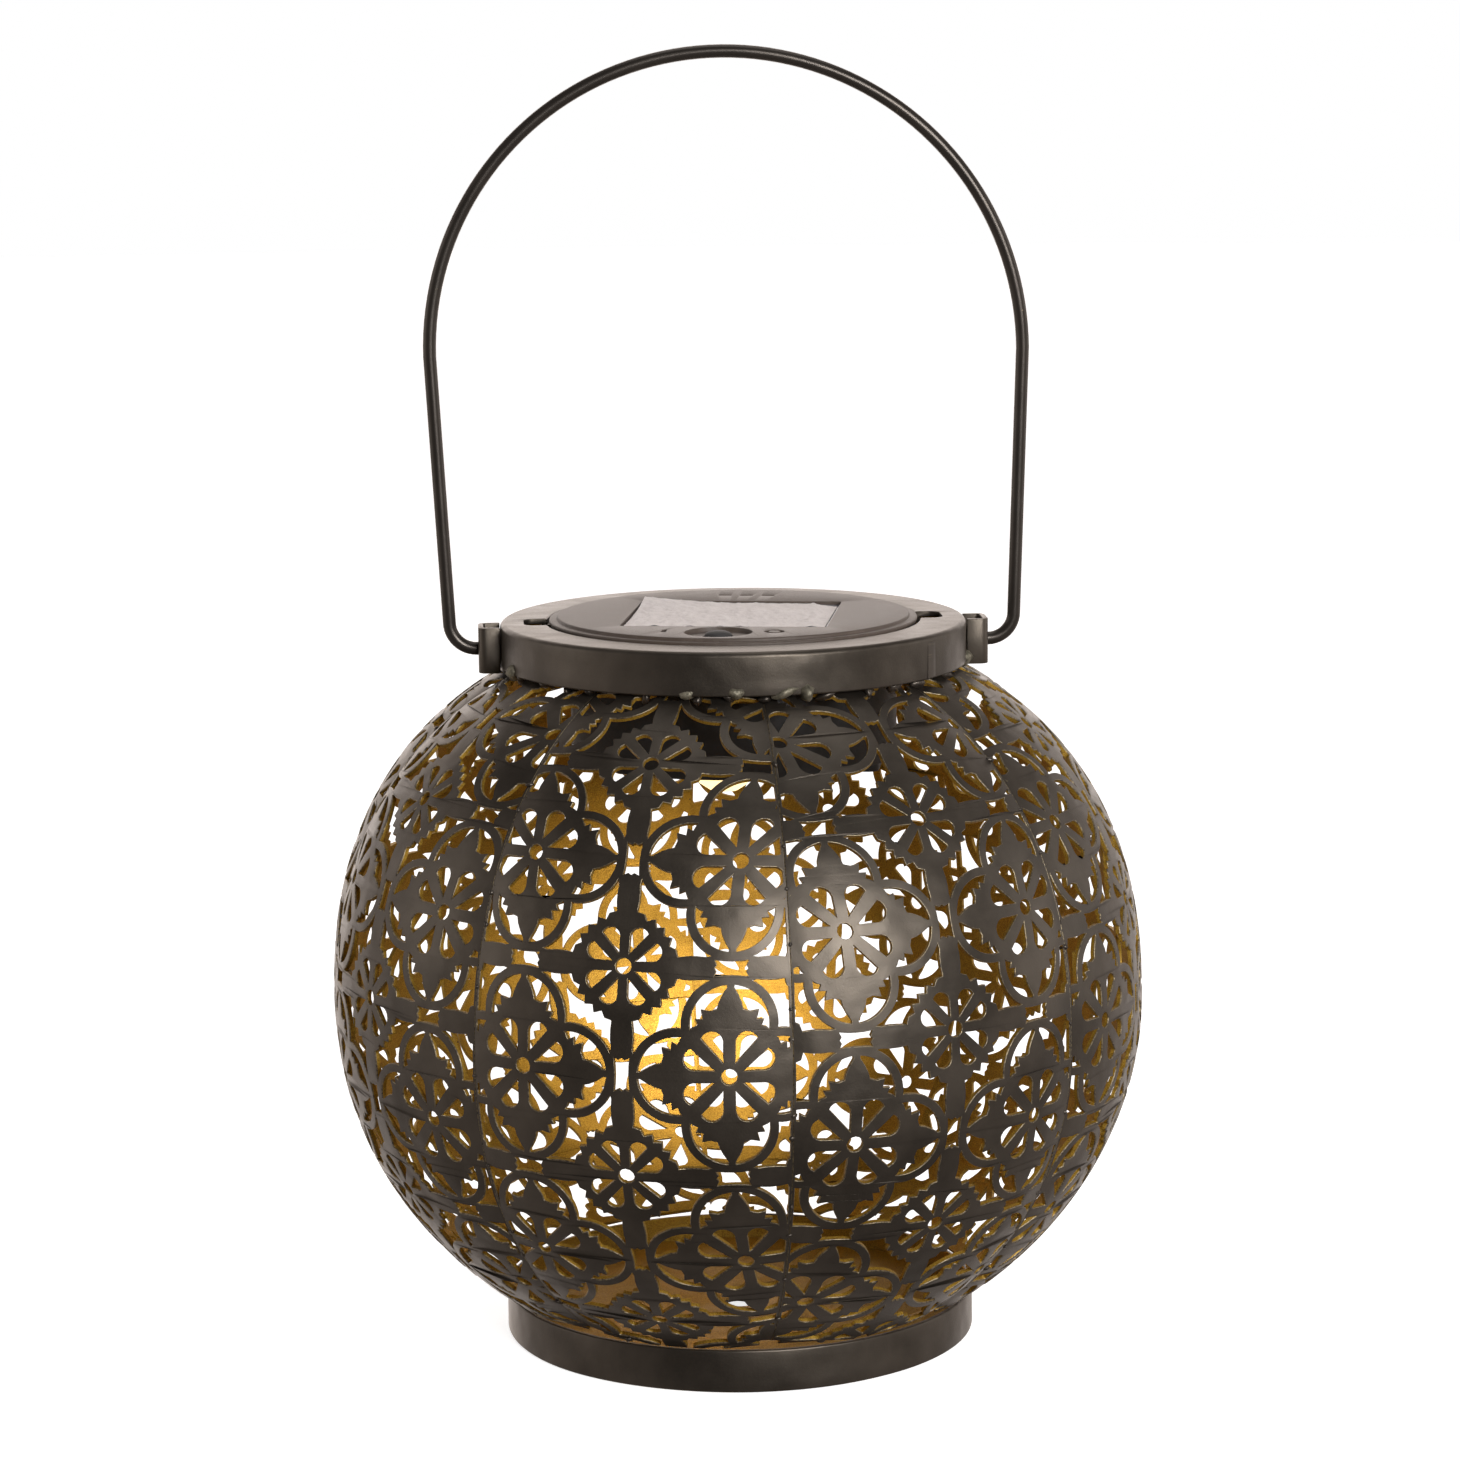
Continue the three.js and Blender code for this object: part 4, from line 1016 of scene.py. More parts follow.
    # Shading: round across the sheet, crisp at the walls.
    kind = read(tree, "kind", "FLOAT")
    outer_normal = read(tree, "outer_normal", "FLOAT_VECTOR")
    wall_normal = read(tree, "wall_normal", "FLOAT_VECTOR")
    at_top = read(tree, "level", "FLOAT") > -0.5 * rim
    on_rim = (kind > 0.5) * (kind < 1.5)
    on_wall = (kind > 1.5) * (kind < 2.5)
    uses_wall = (on_wall + on_rim * (1.0 - at_top)).clamped()
    inwards = 1.0 - 2.0 * (kind > 2.5)
    shading = tree.vector(
        "ADD",
        tree.scaled(outer_normal, inwards * (1.0 - uses_wall)),
        tree.scaled(wall_normal, uses_wall),
    )
    shaded = tree.node(
        "GeometryNodeSetMeshNormal",
        {"mode": "FREE", "domain": "CORNER"},
        {0: wrapped, "Custom Normal": shading},
    )
    gilt = 0.5 * on_rim + (kind > 1.5)
    toned = store(tree, shaded, "gilt", gilt, "FLOAT", "FACE")
    for leftover in ("kind", "wall", "outer_normal", "wall_normal", "level"):
        toned = tree.node("GeometryNodeRemoveAttribute", inputs={0: toned, "Name": leftover})
    close_geometry(tree, toned, given["Finish"])
    return group


def store(tree, geometry, name, value, kind, domain, selection=True):
    return tree.node(
        "GeometryNodeStoreNamedAttribute",
        {"data_type": kind, "domain": domain},
        {0: geometry, "Name": name, "Value": value, "Selection": selection},
    )


def read(tree, name, kind):
    return tree.node("GeometryNodeInputNamedAttribute", {"data_type": kind}, {"Name": name})


def on_domain(tree, value, domain, kind):
    """A field evaluated on another domain."""
    return tree.node("GeometryNodeFieldOnDomain", {"domain": domain, "data_type": kind}, {0: value})


def blob_tree():
    """Weld blobs on the host's points, of uneven size, flattened against the sheet."""
    group, tree, given = geometry_tree(
        "weld_blobs", {"Size": "Float", "Spread": "Float", "Finish": "Material", "Seed": "Int"}
    )
    points = tree.node("GeometryNodeMeshToPoints", inputs={0: given["Geometry"]})
    ball = tree.node(
        "GeometryNodeMeshIcoSphere", inputs={"Radius": given["Size"], "Subdivisions": 2}
    )
    lumpy = tree.node(
        "GeometryNodeSetPosition",
        inputs={
            0: ball,
            "Offset": tree.scaled(
                tree.node("GeometryNodeInputNormal"),
                given["Size"] * (tree.noise(None, 900.0, 1.0) - 0.5),
            ),
        },
    )
    smoothed = tree.node("GeometryNodeSetShadeSmooth", inputs={0: lumpy})

    def any_vector(low, high, draw):
        ends = {"Min": low, "Max": high, "Seed": given["Seed"] + float(draw)}
        return tree.node("FunctionNodeRandomValue", {"data_type": "FLOAT_VECTOR"}, ends)

    uneven = any_vector((0.55, 0.45, 0.45), (1.35, 0.8, 0.9), 0)
    turn = any_vector((-0.4, -0.4, -0.4), (0.4, 0.4, 6.2), 1)
    shift = tree.scaled(any_vector((-1.0, -1.0, -0.3), (1.0, 1.0, 0.3), 2), given["Spread"])
    spread = tree.node("GeometryNodeSetPosition", inputs={0: points, "Offset": shift})
    copies = tree.node(
        "GeometryNodeInstanceOnPoints",
        inputs={0: spread, "Instance": smoothed, "Rotation": turn, "Scale": uneven},
    )
    close_geometry(tree, copies, given["Finish"])
    return group


def wire_tree():
    """A round wire along the host curve."""
    group, tree, given = geometry_tree(
        "bent_wire", {"Radius": "Float", "Finish": "Material", "Steps": "Int"}
    )
    section = tree.node(
        "GeometryNodeCurvePrimitiveCircle",
        inputs={"Resolution": given["Steps"], "Radius": given["Radius"]},
    )
    tube = tree.node(
        "GeometryNodeCurveToMesh",
        inputs={0: given["Geometry"], "Profile Curve": section, "Fill Caps": True},
    )
    close_geometry(tree, tube, given["Finish"])
    return group


# ---- Operators: one for each piece or group of like pieces -----------------------------------


class LanternStep(bpy.types.Operator):
    """Base of the steps that build the lantern"""

    bl_options = {"REGISTER", "UNDO"}

    @property
    def globe(self):
        return bpy.context.scene.lantern_globe

    @property
    def bands(self):
        return bpy.context.scene.lantern_bands

    @property
    def colours(self):
        return bpy.context.scene.lantern_colours

    def execute(self, context):
        self.build()
        return {"FINISHED"}


class LANTERN_OT_globe(LanternStep):
    """Builds the pierced gores of the globe"""

    bl_idname = "lantern.globe"
    bl_label = "Pierced Globe"

    def build(self):
        sizes = self.globe
        form = GlobeForm(sizes, self.bands)
        material = metal_finish(self.colours)
        drawings = {
            "Outline": curve_object("gore_outline", [form.gore_outline()]),
            "Field": curve_object("gore_field", [form.gore_outline(sizes.strip, FIELD_BEYOND)]),
            "Medallion": curve_object("medallion_drawing", medallion()),
            "Flower": curve_object("flower_drawing", flower()),
            "Profile": curve_object(
                "globe_profile", [[(r, 0, z) for r, z in form.stations]], closed=False
            ),
        }
        group = pierced_gore_tree()
        half = math.pi / sizes.gores
        for number in range(1, sizes.gores + 1):
            phase = sizes.odd_phase if number % 2 else sizes.even_phase
            host = mesh_object(f"gore_{number}", [(0, 0, 0)], [])
            gore = run_tree(
                host,
                group,
                {
                    **drawings,
                    "Pitch": sizes.pitch,
                    "Rise": form.waist + phase * sizes.pitch,
                    "Length": form.length,
                    "Middle": sizes.first_seam + (2 * number - 1) * half,
                    "Half angle": half,
                    "Sheet": sizes.sheet,
                    "Rim": sizes.rim,
                    "Dip": sizes.seam_dip,
                    "Finish": material,
                },
            )
            if len(gore.data.polygons) < LEAST_FACES:
                raise RuntimeError(f"gore {number} came out empty")
            place_piece(gore, "globe", "bronze_metal", material, f"globe_panel_{number}")
        for drawing in drawings.values():
            bpy.data.objects.remove(drawing)


CROWN_TURNS = (0.0, -0.14, 0.27, 0.49)  # radians from each seam to the welds by it
TACK_HEIGHTS = range(-47, 54, 9)  # over the waist, in mm
BEAD_TURNS = (-15, -3, 8, 14, 82, 131, 178, 229, 287)  # degrees from the front
FOOT_TURN = 0.2  # radians from each seam to the weld at its foot
WELD_SEED = 7


class LANTERN_OT_welds(LanternStep):
    """Builds the welds on and under the collar, in the base ring and along the seams"""

    bl_idname = "lantern.welds"
    bl_label = "Weld Blobs"

    def build(self):
        sizes = self.globe
        form = GlobeForm(sizes, self.bands)
        material = band_finish(self.colours)
        group = blob_tree()

        def on_form(turn, height, depth):
            reach = form.radius(height) - depth
            return (reach * math.sin(turn), -reach * math.cos(turn), height)

        seams = [sizes.first_seam + 2 * math.pi / sizes.gores * n for n in range(sizes.gores)]
        collar_low = edge_mm("collar_ring", 2, 0)
        crown = [
            on_form(turn + offset, collar_low - 0.5, 0.3)
            for turn in seams
            for offset in CROWN_TURNS
        ]
        tacks = [
            on_form(
                turn,
                sizes.waist + height + 2.5 * math.sin(5 * turn + height),
                sizes.seam_dip + 0.4,
            )
            for turn in seams
            for height in TACK_HEIGHTS
        ]
        edge = edge_mm("collar_ring", 0) - 0.9
        drips = [
            (edge * math.sin(turn), -edge * math.cos(turn), collar_low + 0.5)
            for turn in map(math.radians, BEAD_TURNS)
        ]
        foot = [on_form(turn + FOOT_TURN, form.low + 1.2, 0.9) for turn in seams]
        bare = finish("weld_bead", rough_weld, self.colours.bead)
        for name, points, blob, spread, metal in (
            ("collar_welds", crown, 1.5, 0.5, material),
            ("collar_beads", drips, 2.0, 0.3, bare),
            ("seam_tacks", tacks, 0.72, 0.0, material),
            ("base_welds", foot, 1.0, 0.2, material),
        ):
            host = mesh_object(name, points, [])
            values = {"Size": blob * MM, "Spread": spread * MM, "Finish": metal, "Seed": WELD_SEED}
            blobs = run_tree(host, group, values)
            place_piece(blobs, "globe", "bronze_metal", metal)


def hand_rolled(depth, seed):
    """A slight unevenness of a rolled band, in mm."""

    def wobble(turn, height):
        place = Vector((1.6 * math.sin(turn), 1.6 * math.cos(turn), 0.03 * height + seed))
        return depth * (noise.noise(place) + 0.25 * noise.noise(place * 3.1))

    return wobble


class LANTERN_OT_base(LanternStep):
    """Builds the base ring and its plate"""

    bl_idname = "lantern.base"
    bl_label = "Base"

    def build(self):
        band = self.bands.band
        outer, _, top = extent_mm("base_ring")
        inner, roll = outer - band, 0.4
        profile = [(inner, 0.3), (inner + 0.3, 0.0), (outer - roll, 0.0)]
        profile += arc((outer - roll, roll), roll, -60, 0, 0.15)
        profile += [(outer, z) for z in (2.0, 4.0, 6.0)]
        profile += arc((outer - roll, top - roll), roll, 0, 90, 0.15)
        profile += [(inner + 0.2, top), (inner, top - 0.2)]
        ring = revolved("base_ring_rolled", profile, wobble=hand_rolled(0.22, 3.0))
        facing_gilt(smooth(ring), lambda place, normal: place.xy.length < (inner + 0.15) * MM)
        metal = metal_finish(self.colours)
        place_piece(ring, "globe", "bronze_metal", metal, "base_ring")
        plate = soften(frame_copy("base_plate", "base_plate_pressed"), 0.25)
        facing_gilt(smooth(plate), lambda place, normal: normal.z > 0.3)
        place_piece(plate, "globe", "bronze_metal", metal, "base_plate")


NOTCH_CORNER = 2.1
LAP_TURN = math.radians(50)  # from the front, to the right
LAP_WIDTH = 0.06  # radians
LAP_LIFT = 0.35
LAP_SHEET = 0.3


class LANTERN_OT_collar(LanternStep):
    """Builds the collar ring with the lid's sunk seat and bayonet notches"""

    bl_idname = "lantern.collar"
    bl_label = "Collar"

    def build(self):
        sizes = self.bands
        outer, low, top = extent_mm("collar_ring")
        band, edge = sizes.band, sizes.edge_round
        seat = top - sizes.seat_depth
        profile = [
            (sizes.mouth, seat - band),
            (sizes.seat_radius + band, seat - band),
            (sizes.seat_radius + band, top - band),
            (outer - band, top - band),
            (outer - band, low + 0.2),
            (outer - band + 0.2, low),
            (outer - 0.35, low),
        ]
        profile += arc((outer - 0.35, low + 0.35), 0.35, -45, 0, 0.12)
        profile += [(outer, z) for z in (low + 2, low + 4, low + 5.5)]
        profile += arc((outer - edge, top - edge), edge, 0, 90, 0.2)
        profile += [(sizes.seat_radius + 3.0, top - 0.03)]
        profile += arc((sizes.seat_radius + 0.45, top - 0.45), 0.45, 90, 180, 0.15)
        profile += [(sizes.seat_radius, seat), (sizes.mouth + 0.2, seat), (sizes.mouth, seat - 0.2)]
        collar = revolved("collar_rolled", profile, wobble=hand_rolled(0.16, 9.0))
        cutters = []
        for side in SIDES:
            mouth_end = side * (sizes.mouth - 4)
            slot_end = side * (sizes.notch_reach - 2.2)
            width = abs(slot_end - mouth_end)
            middle = ((slot_end + mouth_end) / 2, 0)
            slot = rounded_box(width + 4.4, sizes.notch_width, NOTCH_CORNER, middle)
            cutters.append(prism("notch", slot, low + 3.0, top + 3.0))
        cut(collar, *cutters)
        soften(collar, 0.12, 2, 50)
        facing_gilt(
            smooth(collar),
            lambda place, normal: (
                (place.z < (top - 1.2) * MM and place.xy.length < (outer - band + 0.1) * MM)
                and (normal.z < -0.5 or normal.xy.dot(place.xy) < 0)
            ),
        )
        place_piece(collar, "globe", "bronze_metal", metal_finish(self.colours), "collar_ring")
        self.overlap(outer, low, top)

    def overlap(self, outer, low, top):
        """Lap joint where the band's ends meet."""
        points = []
        for across in np.linspace(0, LAP_WIDTH, 5):
            lift = LAP_LIFT * math.sin(math.pi * min(1.0, 0.15 + across * 14))
            for height in (low + 0.3, low + 3, top - 2.2, top - 1.3):
                radius = outer + 0.02 + lift * (0.5 if height > top - 2 else 1.0) * 0.5
                angle = LAP_TURN + across
                points.append((radius * math.sin(angle), -radius * math.cos(angle), height))
        faces = [
            (4 * column + row, 4 * column + 4 + row, 4 * column + 5 + row, 4 * column + 1 + row)
            for column in range(4)
            for row in range(3)
        ]
        lap = mesh_object("collar_lap", points, faces)
        smooth(thicken(lap, LAP_SHEET), 50)
        place_piece(lap, "globe", "bronze_metal", band_finish(self.colours))


class LANTERN_OT_lugs(LanternStep):
    """Builds the two lugs that hold the handle"""

    bl_idname = "lantern.lugs"
    bl_label = "Lugs"

    def build(self):
        for node in ("lug_left", "lug_right"):
            lug = soften(frame_copy(node, node + "_folded"), 0.18, 2, 30)
            facing_gilt(smooth(lug), lambda place, normal: False)
            place_piece(lug, "globe", "bronze_metal", metal_finish(self.colours), node)


FOOT_INSIDE_LUG = 1.5  # how far the wire's ends reach in past the lug's strip
FOOT_OUTSIDE_LUG = 0.3
HEAD_OVER_WIRE = 0.95  # how much wider a peened head is than the wire, on each side
HEAD_OVERLAP = 1.05  # from the wire's end to the back of its head
WIRE_SWAY = 0.25


class LANTERN_OT_handle(LanternStep):
    """Builds the wire handle with its peened ends"""

    bl_idname = "lantern.handle"
    bl_label = "Handle"

    def path(self):
        """Half of the wire's middle line, from the inner end of its foot to the top of the arch."""
        sizes = self.bands
        outer, low, high = extent_mm("lug_right")
        pivot = (low + high) / 2
        inner = outer - sizes.band - FOOT_INSIDE_LUG
        bend = sizes.bend
        foot = outer + FOOT_OUTSIDE_LUG + bend
        centre = (0.0, pivot + sizes.arch_rise)
        half = line((inner, pivot), (foot - bend, pivot), 1.0)
        half += arc((foot - bend, pivot + bend), bend, -90, 0, 0.7)
        half += line(half[-1], (sizes.arch_radius, centre[1]), 6.0)[1:]
        half += arc(centre, sizes.arch_radius, 0, 90, 2.2)
        return half, pivot, inner

    def build(self):
        sizes = self.bands
        half, pivot, inner = self.path()
        whole = half + [(-x, z) for x, z in reversed(half[:-1])]
        rise = sizes.arch_rise + sizes.arch_radius
        line_points = []
        for x, z in whole:
            share = max(0.0, (z - pivot) / rise)
            sway = WIRE_SWAY * noise.noise(Vector((0.03 * x, 0.0, 0.03 * z)))
            line_points.append((x - sizes.lean * share, sway * share, z))
        points = [tuple(c * MM for c in point) for point in line_points]
        host = curve_object("handle_wire", [points], closed=False)
        material = wire_finish(self.colours)
        values = {"Radius": sizes.wire / 2 * MM, "Finish": material, "Steps": 16}
        wire = run_tree(host, wire_tree(), values)
        head = sizes.wire / 2 + HEAD_OVER_WIRE
        outline = [(0, 0), (head - 0.3, 0), (head, 0.3), (head, 0.6), (head * 0.72, 1.0), (0, 1.2)]
        heads = []
        for side in SIDES:
            rivet = revolved("rivet_head", outline, 24)
            move = Matrix.Translation((side * (inner + HEAD_OVERLAP) * MM, 0, pivot * MM))
            rivet.data.transform(move @ Matrix.Rotation(-side * math.pi / 2, 4, "Y"))
            heads.append(rivet)
        cut(wire, *heads, operation="UNION")
        smooth(wire, 40)
        place_piece(wire, "handle", "handle_wire", material, "handle_bail")


class LANTERN_OT_gasket(LanternStep):
    """Builds the rubber gasket under the lid"""

    bl_idname = "lantern.gasket"
    bl_label = "Gasket"

    def build(self):
        outer, bottom, top = extent_mm("lid_gasket")
        inner = self.bands.mouth + 0.4
        roll = (top - bottom) / 2 - 0.02
        profile = arc((outer - roll, bottom + roll), roll, -90, 90, 0.15)
        profile += arc((inner + roll, bottom + roll), roll, 90, 270, 0.15)
        gasket = smooth(revolved("gasket_ring", profile, 128), 60)
        rubber = finish("gasket_rubber", soft_rubber, self.colours.rubber)
        place_piece(gasket, "gasket", "gasket_rubber", rubber, "lid_gasket")


LID_STEP_DROP = 0.6
LID_BELOW_MOUTH = 0.1  # how much wider than the collar's mouth the lid is below its flange
RECESS_CLEARANCE = 0.3  # round the cell and the button
CELL_RECESS_DEPTH = 1.5
BUTTON_RECESS_DEPTH = 0.8
MARK_DEPTH = 0.35
MARK_REACH = 10.2  # of the marks to each side of the button
MARK_BEHIND = 1.2  # of the marks, from the button's middle
ON_MARK = (0.9, 3.4, 0.3)  # width, length and corner
OFF_MARK = (1.9, 1.1)  # outer and inner radius
BACK_BAR = (2.6, 1.1, 0.4)
BACK_BARS = (-4.2, 0.0, 4.2)
BACK_BAR_Y = 24.6
CLEAR = 1.0  # how far a cutter reaches past what it cuts


class LANTERN_OT_lid(LanternStep):
    """Builds the lid with its recesses and plain moulded marks"""

    bl_idname = "lantern.lid"
    bl_label = "Lid"

    def build(self):
        sizes = self.bands
        flange, bottom, top = extent_mm("lid_cover")
        seal = edge_mm("lid_gasket", 2) + 0.05
        drop, body = LID_STEP_DROP, sizes.mouth + LID_BELOW_MOUTH
        raised = flange - sizes.lid_step
        profile = [(0, bottom), (body - 0.2, bottom), (body, bottom + 0.2), (body, seal)]
        profile += [(flange - 0.2, seal), (flange, seal + 0.15)]
        profile += arc((flange - 0.3, top - drop - 0.3), 0.3, 0, 90, 0.12)
        profile += [(raised + 0.1, top - drop)]
        profile += arc((raised - 0.35, top - 0.35), 0.35, 0, 90, 0.12)
        profile += [(0, top)]
        lid = revolved("lid_moulded", profile)
        width, depth = (s + 2 * RECESS_CLEARANCE for s in (sizes.cell_width, sizes.cell_depth))
        cell = rounded_box(width, depth, 0.5, (0, sizes.cell_y))
        button = (0, sizes.button_y)
        cutters = [
            prism("cell_recess", cell, top - CELL_RECESS_DEPTH, top + CLEAR),
            prism(
                "button_recess",
                circle(sizes.button_recess, 48, button),
                top - BUTTON_RECESS_DEPTH,
                top + CLEAR,
            ),
            prism(
                "button_bore",
                circle(sizes.button_radius + RECESS_CLEARANCE, 32, button),
                bottom - CLEAR,
                top + CLEAR,
            ),
        ]
        cut(lid, *cutters, *self.marks(top))
        soften(lid, 0.14, 2, 40)
        turned(smooth(lid, 30), sizes.lid_turn)
        plastic = finish("lid_plastic", moulded_plastic, self.colours.lid)
        place_piece(lid, "lamp_unit", "lid_plastic", plastic, "lid_cover")

    def marks(self, top):
        """Sunk on and off marks beside the button and three plain bars at the back."""
        sizes = self.bands
        low, high = top - MARK_DEPTH, top + CLEAR
        left, right = ((side * MARK_REACH, sizes.button_y + MARK_BEHIND) for side in SIDES)
        outer, inner = OFF_MARK
        ring = prism("off_mark", circle(outer, 28, right), low, high)
        cut(ring, prism("off_core", circle(inner, 24, right), low - CLEAR, high + CLEAR))
        bars = [rounded_box(*BACK_BAR, (x, BACK_BAR_Y)) for x in BACK_BARS]
        return [
            prism("on_mark", rounded_box(*ON_MARK, left), low, high),
            ring,
            *[prism("back_bar", bar, low, high) for bar in bars],
        ]


class LANTERN_OT_cell(LanternStep):
    """Builds the solar cell in the lid's recess"""

    bl_idname = "lantern.cell"
    bl_label = "Solar Cell"

    def build(self):
        sizes = self.bands
        outline = rounded_box(sizes.cell_width, sizes.cell_depth, 0.3, (0, sizes.cell_y))
        cell = prism("cell_wafer", outline, *extent_mm("solar_cell")[1:])
        soften(cell, 0.1)
        turned(smooth(cell), sizes.lid_turn)
        silicon = finish("silicon_cell", silicon_cell, self.colours.silicon)
        place_piece(cell, "lamp_unit", "cell_silicon", silicon, "solar_cell")


FILM_COLUMNS, FILM_ROWS = 96, 84
FILM_MARGIN = 0.2  # between the film's edges and the cell's
FILM_SHEET = 0.07


class LANTERN_OT_film(LanternStep):
    """Builds the wrinkled film that is coming off the solar cell"""

    bl_idname = "lantern.film"
    bl_label = "Cell Film"

    def build(self):
        sizes = self.bands
        base = edge_mm("solar_film", 2, 0) + 0.05
        columns, rows = FILM_COLUMNS, FILM_ROWS
        half_x, half_y = (s / 2 - FILM_MARGIN for s in (sizes.cell_width, sizes.cell_depth))
        points = []
        for row in range(rows + 1):
            for column in range(columns + 1):
                a, b = 2 * column / columns - 1, 2 * row / rows - 1
                x, y = a * half_x, b * half_y
                ragged = noise.noise(Vector((0.5 * x, 4.0, 1.7)))
                y += max(0.0, -b - 0.6) * (1.1 + 2.4 * ragged)
                wrinkle = 0.5 + noise.noise(Vector((0.55 * x, 0.16 * y, 0.3)))
                bubble = max(0.0, noise.noise(Vector((0.9 * x, 0.9 * y, 5.0))) - 0.05)
                lift = 0.10 + 0.14 * wrinkle + 0.28 * bubble
                lift += 1.5 * max(0.0, (b - a) / 2 - 0.52) ** 1.4 * 2.2
                lift += 0.75 * max(0.0, -b - 0.72) * (0.6 + ragged)
                points.append((x, y + sizes.cell_y, base + lift))
        wide = columns + 1
        faces = [
            (r * wide + c, r * wide + c + 1, (r + 1) * wide + c + 1, (r + 1) * wide + c)
            for r in range(rows)
            for c in range(columns)
            if c / columns - 0.86 + 0.9 * (r / rows - 0.9) < 0.09
        ]
        film = mesh_object("film_sheet", points, faces)
        turned(smooth(thicken(film, FILM_SHEET), 50), sizes.lid_turn)
        skin = finish("cell_film", wrinkled_film, self.colours.film)
        place_piece(film, "lamp_unit", "cell_film", skin, "solar_film")


BUTTON_SKIRT = 1.15  # how far the button's foot reaches past its dome
BUTTON_SKIRT_HEIGHT = 0.8
BUTTON_DOME = 0.9


class LANTERN_OT_button(LanternStep):
    """Builds the domed push button"""

    bl_idname = "lantern.button"
    bl_label = "Button"

    def build(self):
        sizes = self.bands
        _, bottom, top = extent_mm("switch_button")
        radius, dome = sizes.button_radius, BUTTON_DOME
        wide, high = radius + BUTTON_SKIRT, bottom + BUTTON_SKIRT_HEIGHT
        profile = [(0, bottom), (wide - 0.15, bottom), (wide, bottom + 0.15)]
        profile += [(wide, high - 0.15), (wide - 0.15, high), (radius, high), (radius, top - dome)]
        for share in (0.15, 0.3, 0.45, 0.6, 0.75, 0.9):
            angle = share * math.pi / 2
            rise = top - dome + dome * math.sin(angle)
            profile.append((radius * math.cos(angle) ** 0.8, rise))
        profile.append((0, top))
        button = smooth(revolved("button_dome", profile, 40), 40)
        button.data.transform(Matrix.Translation((0, sizes.button_y * MM, 0)))
        turned(button, sizes.lid_turn)
        rubber = finish("button_rubber", soft_rubber, self.colours.rubber)
        place_piece(button, "button", "gasket_rubber", rubber, "switch_button")


class LANTERN_OT_housing(LanternStep):
    """Builds the lamp's housing, its battery cover and its screws"""

    bl_idname = "lantern.housing"
    bl_label = "Housing"

    def build(self):
        plastic = finish("housing_plastic", moulded_plastic, self.colours.housing)
        place_copy("module_housing", "housing_drum", "housing_plastic", plastic, 0.2)
        place_copy("battery_cover", "battery_door", "housing_plastic", plastic, 0.2)
        steel = finish("screw_steel", plated_metal, (0.55, 0.56, 0.57))
        for number in (1, 2):
            node = f"cover_screw_{number}"
            place_copy(node, node + "_turned", "screw_steel", steel, 0.12)


LED_STRENGTH = 6.0
LENS_STRENGTH = 2.2


class LANTERN_OT_electrics(LanternStep):
    """Finishes the board, the switch, the battery and its contacts, and builds the lamp's lens"""

    bl_idname = "lantern.electrics"
    bl_label = "Electrics"

    def build(self):
        colours = self.colours
        repaint("circuit_board", finish("board_laminate", circuit_laminate))
        repaint("switch_body", finish("housing_plastic", moulded_plastic, colours.housing))
        nickel = finish("contact_nickel", plated_metal, (0.66, 0.63, 0.58))
        repaint("plate_contact", nickel)
        spring = smooth(frame_copy("spring_contact", "spring_wound", flat=False), 50)
        place_piece(spring, "lamp_unit", "contact_nickel", nickel, "spring_contact")
        wrap = finish("battery_wrap", battery_wrap)
        place_copy("battery_cell", "battery_wrapped", "battery_wrap", wrap, 0.3, 3)
        resin = finish("led_resin", glowing_plastic, colours.glow, LED_STRENGTH)
        frosted = finish("lens_frosted", glowing_plastic, colours.glow, LENS_STRENGTH)
        led = smooth(frame_copy("led", "led_bulb"), 40)
        place_piece(led, "lamp_unit", "led_resin", resin, "led")
        place_copy("led_lens", "lens_cup", "lens_frosted", frosted, 0.15)


LAMP_WATTS = 0.60
LAMP_RADIUS = 0.006
LAMP_WARMTH = 0.6  # share of the glow colour in its light; the rest is white
LAMP_CONE = math.radians(58)
LAMP_AIM = Vector((-0.012, 0.072, 0.052))  # on the far inside wall
CAMERA_PLACE = Vector((-0.0515, -0.7757, 0.2479))
CAMERA_HEADING = Vector((0.0507, 0.7757, 0)).normalized()
CAMERA_LENS, SENSOR_WIDTH = 102.3, 36
CAMERA_PITCH = math.radians(9.62)  # below the horizon
CAMERA_ROLL = math.radians(-0.6)
FLOOR_RADIUS, FLOOR_HEIGHT = 4000, -0.2  # in mm; just below the base
LIGHT_AIM = Vector((0, 0, 0.075))
AREA_LIGHTS = {  # place and size in metres, power in watts
    "key_light": ((0.42, -1.05, 0.46), (0.50, 0.42), 11.0),
    "left_light": ((-1.3, 0.1, 0.35), (0.6, 0.8), 1.3),
    "right_light": ((1.3, 0.1, 0.35), (0.6, 0.8), 1.6),
    "top_light": ((0.1, 0.2, 1.3), (0.8, 0.8), 2.2),
}


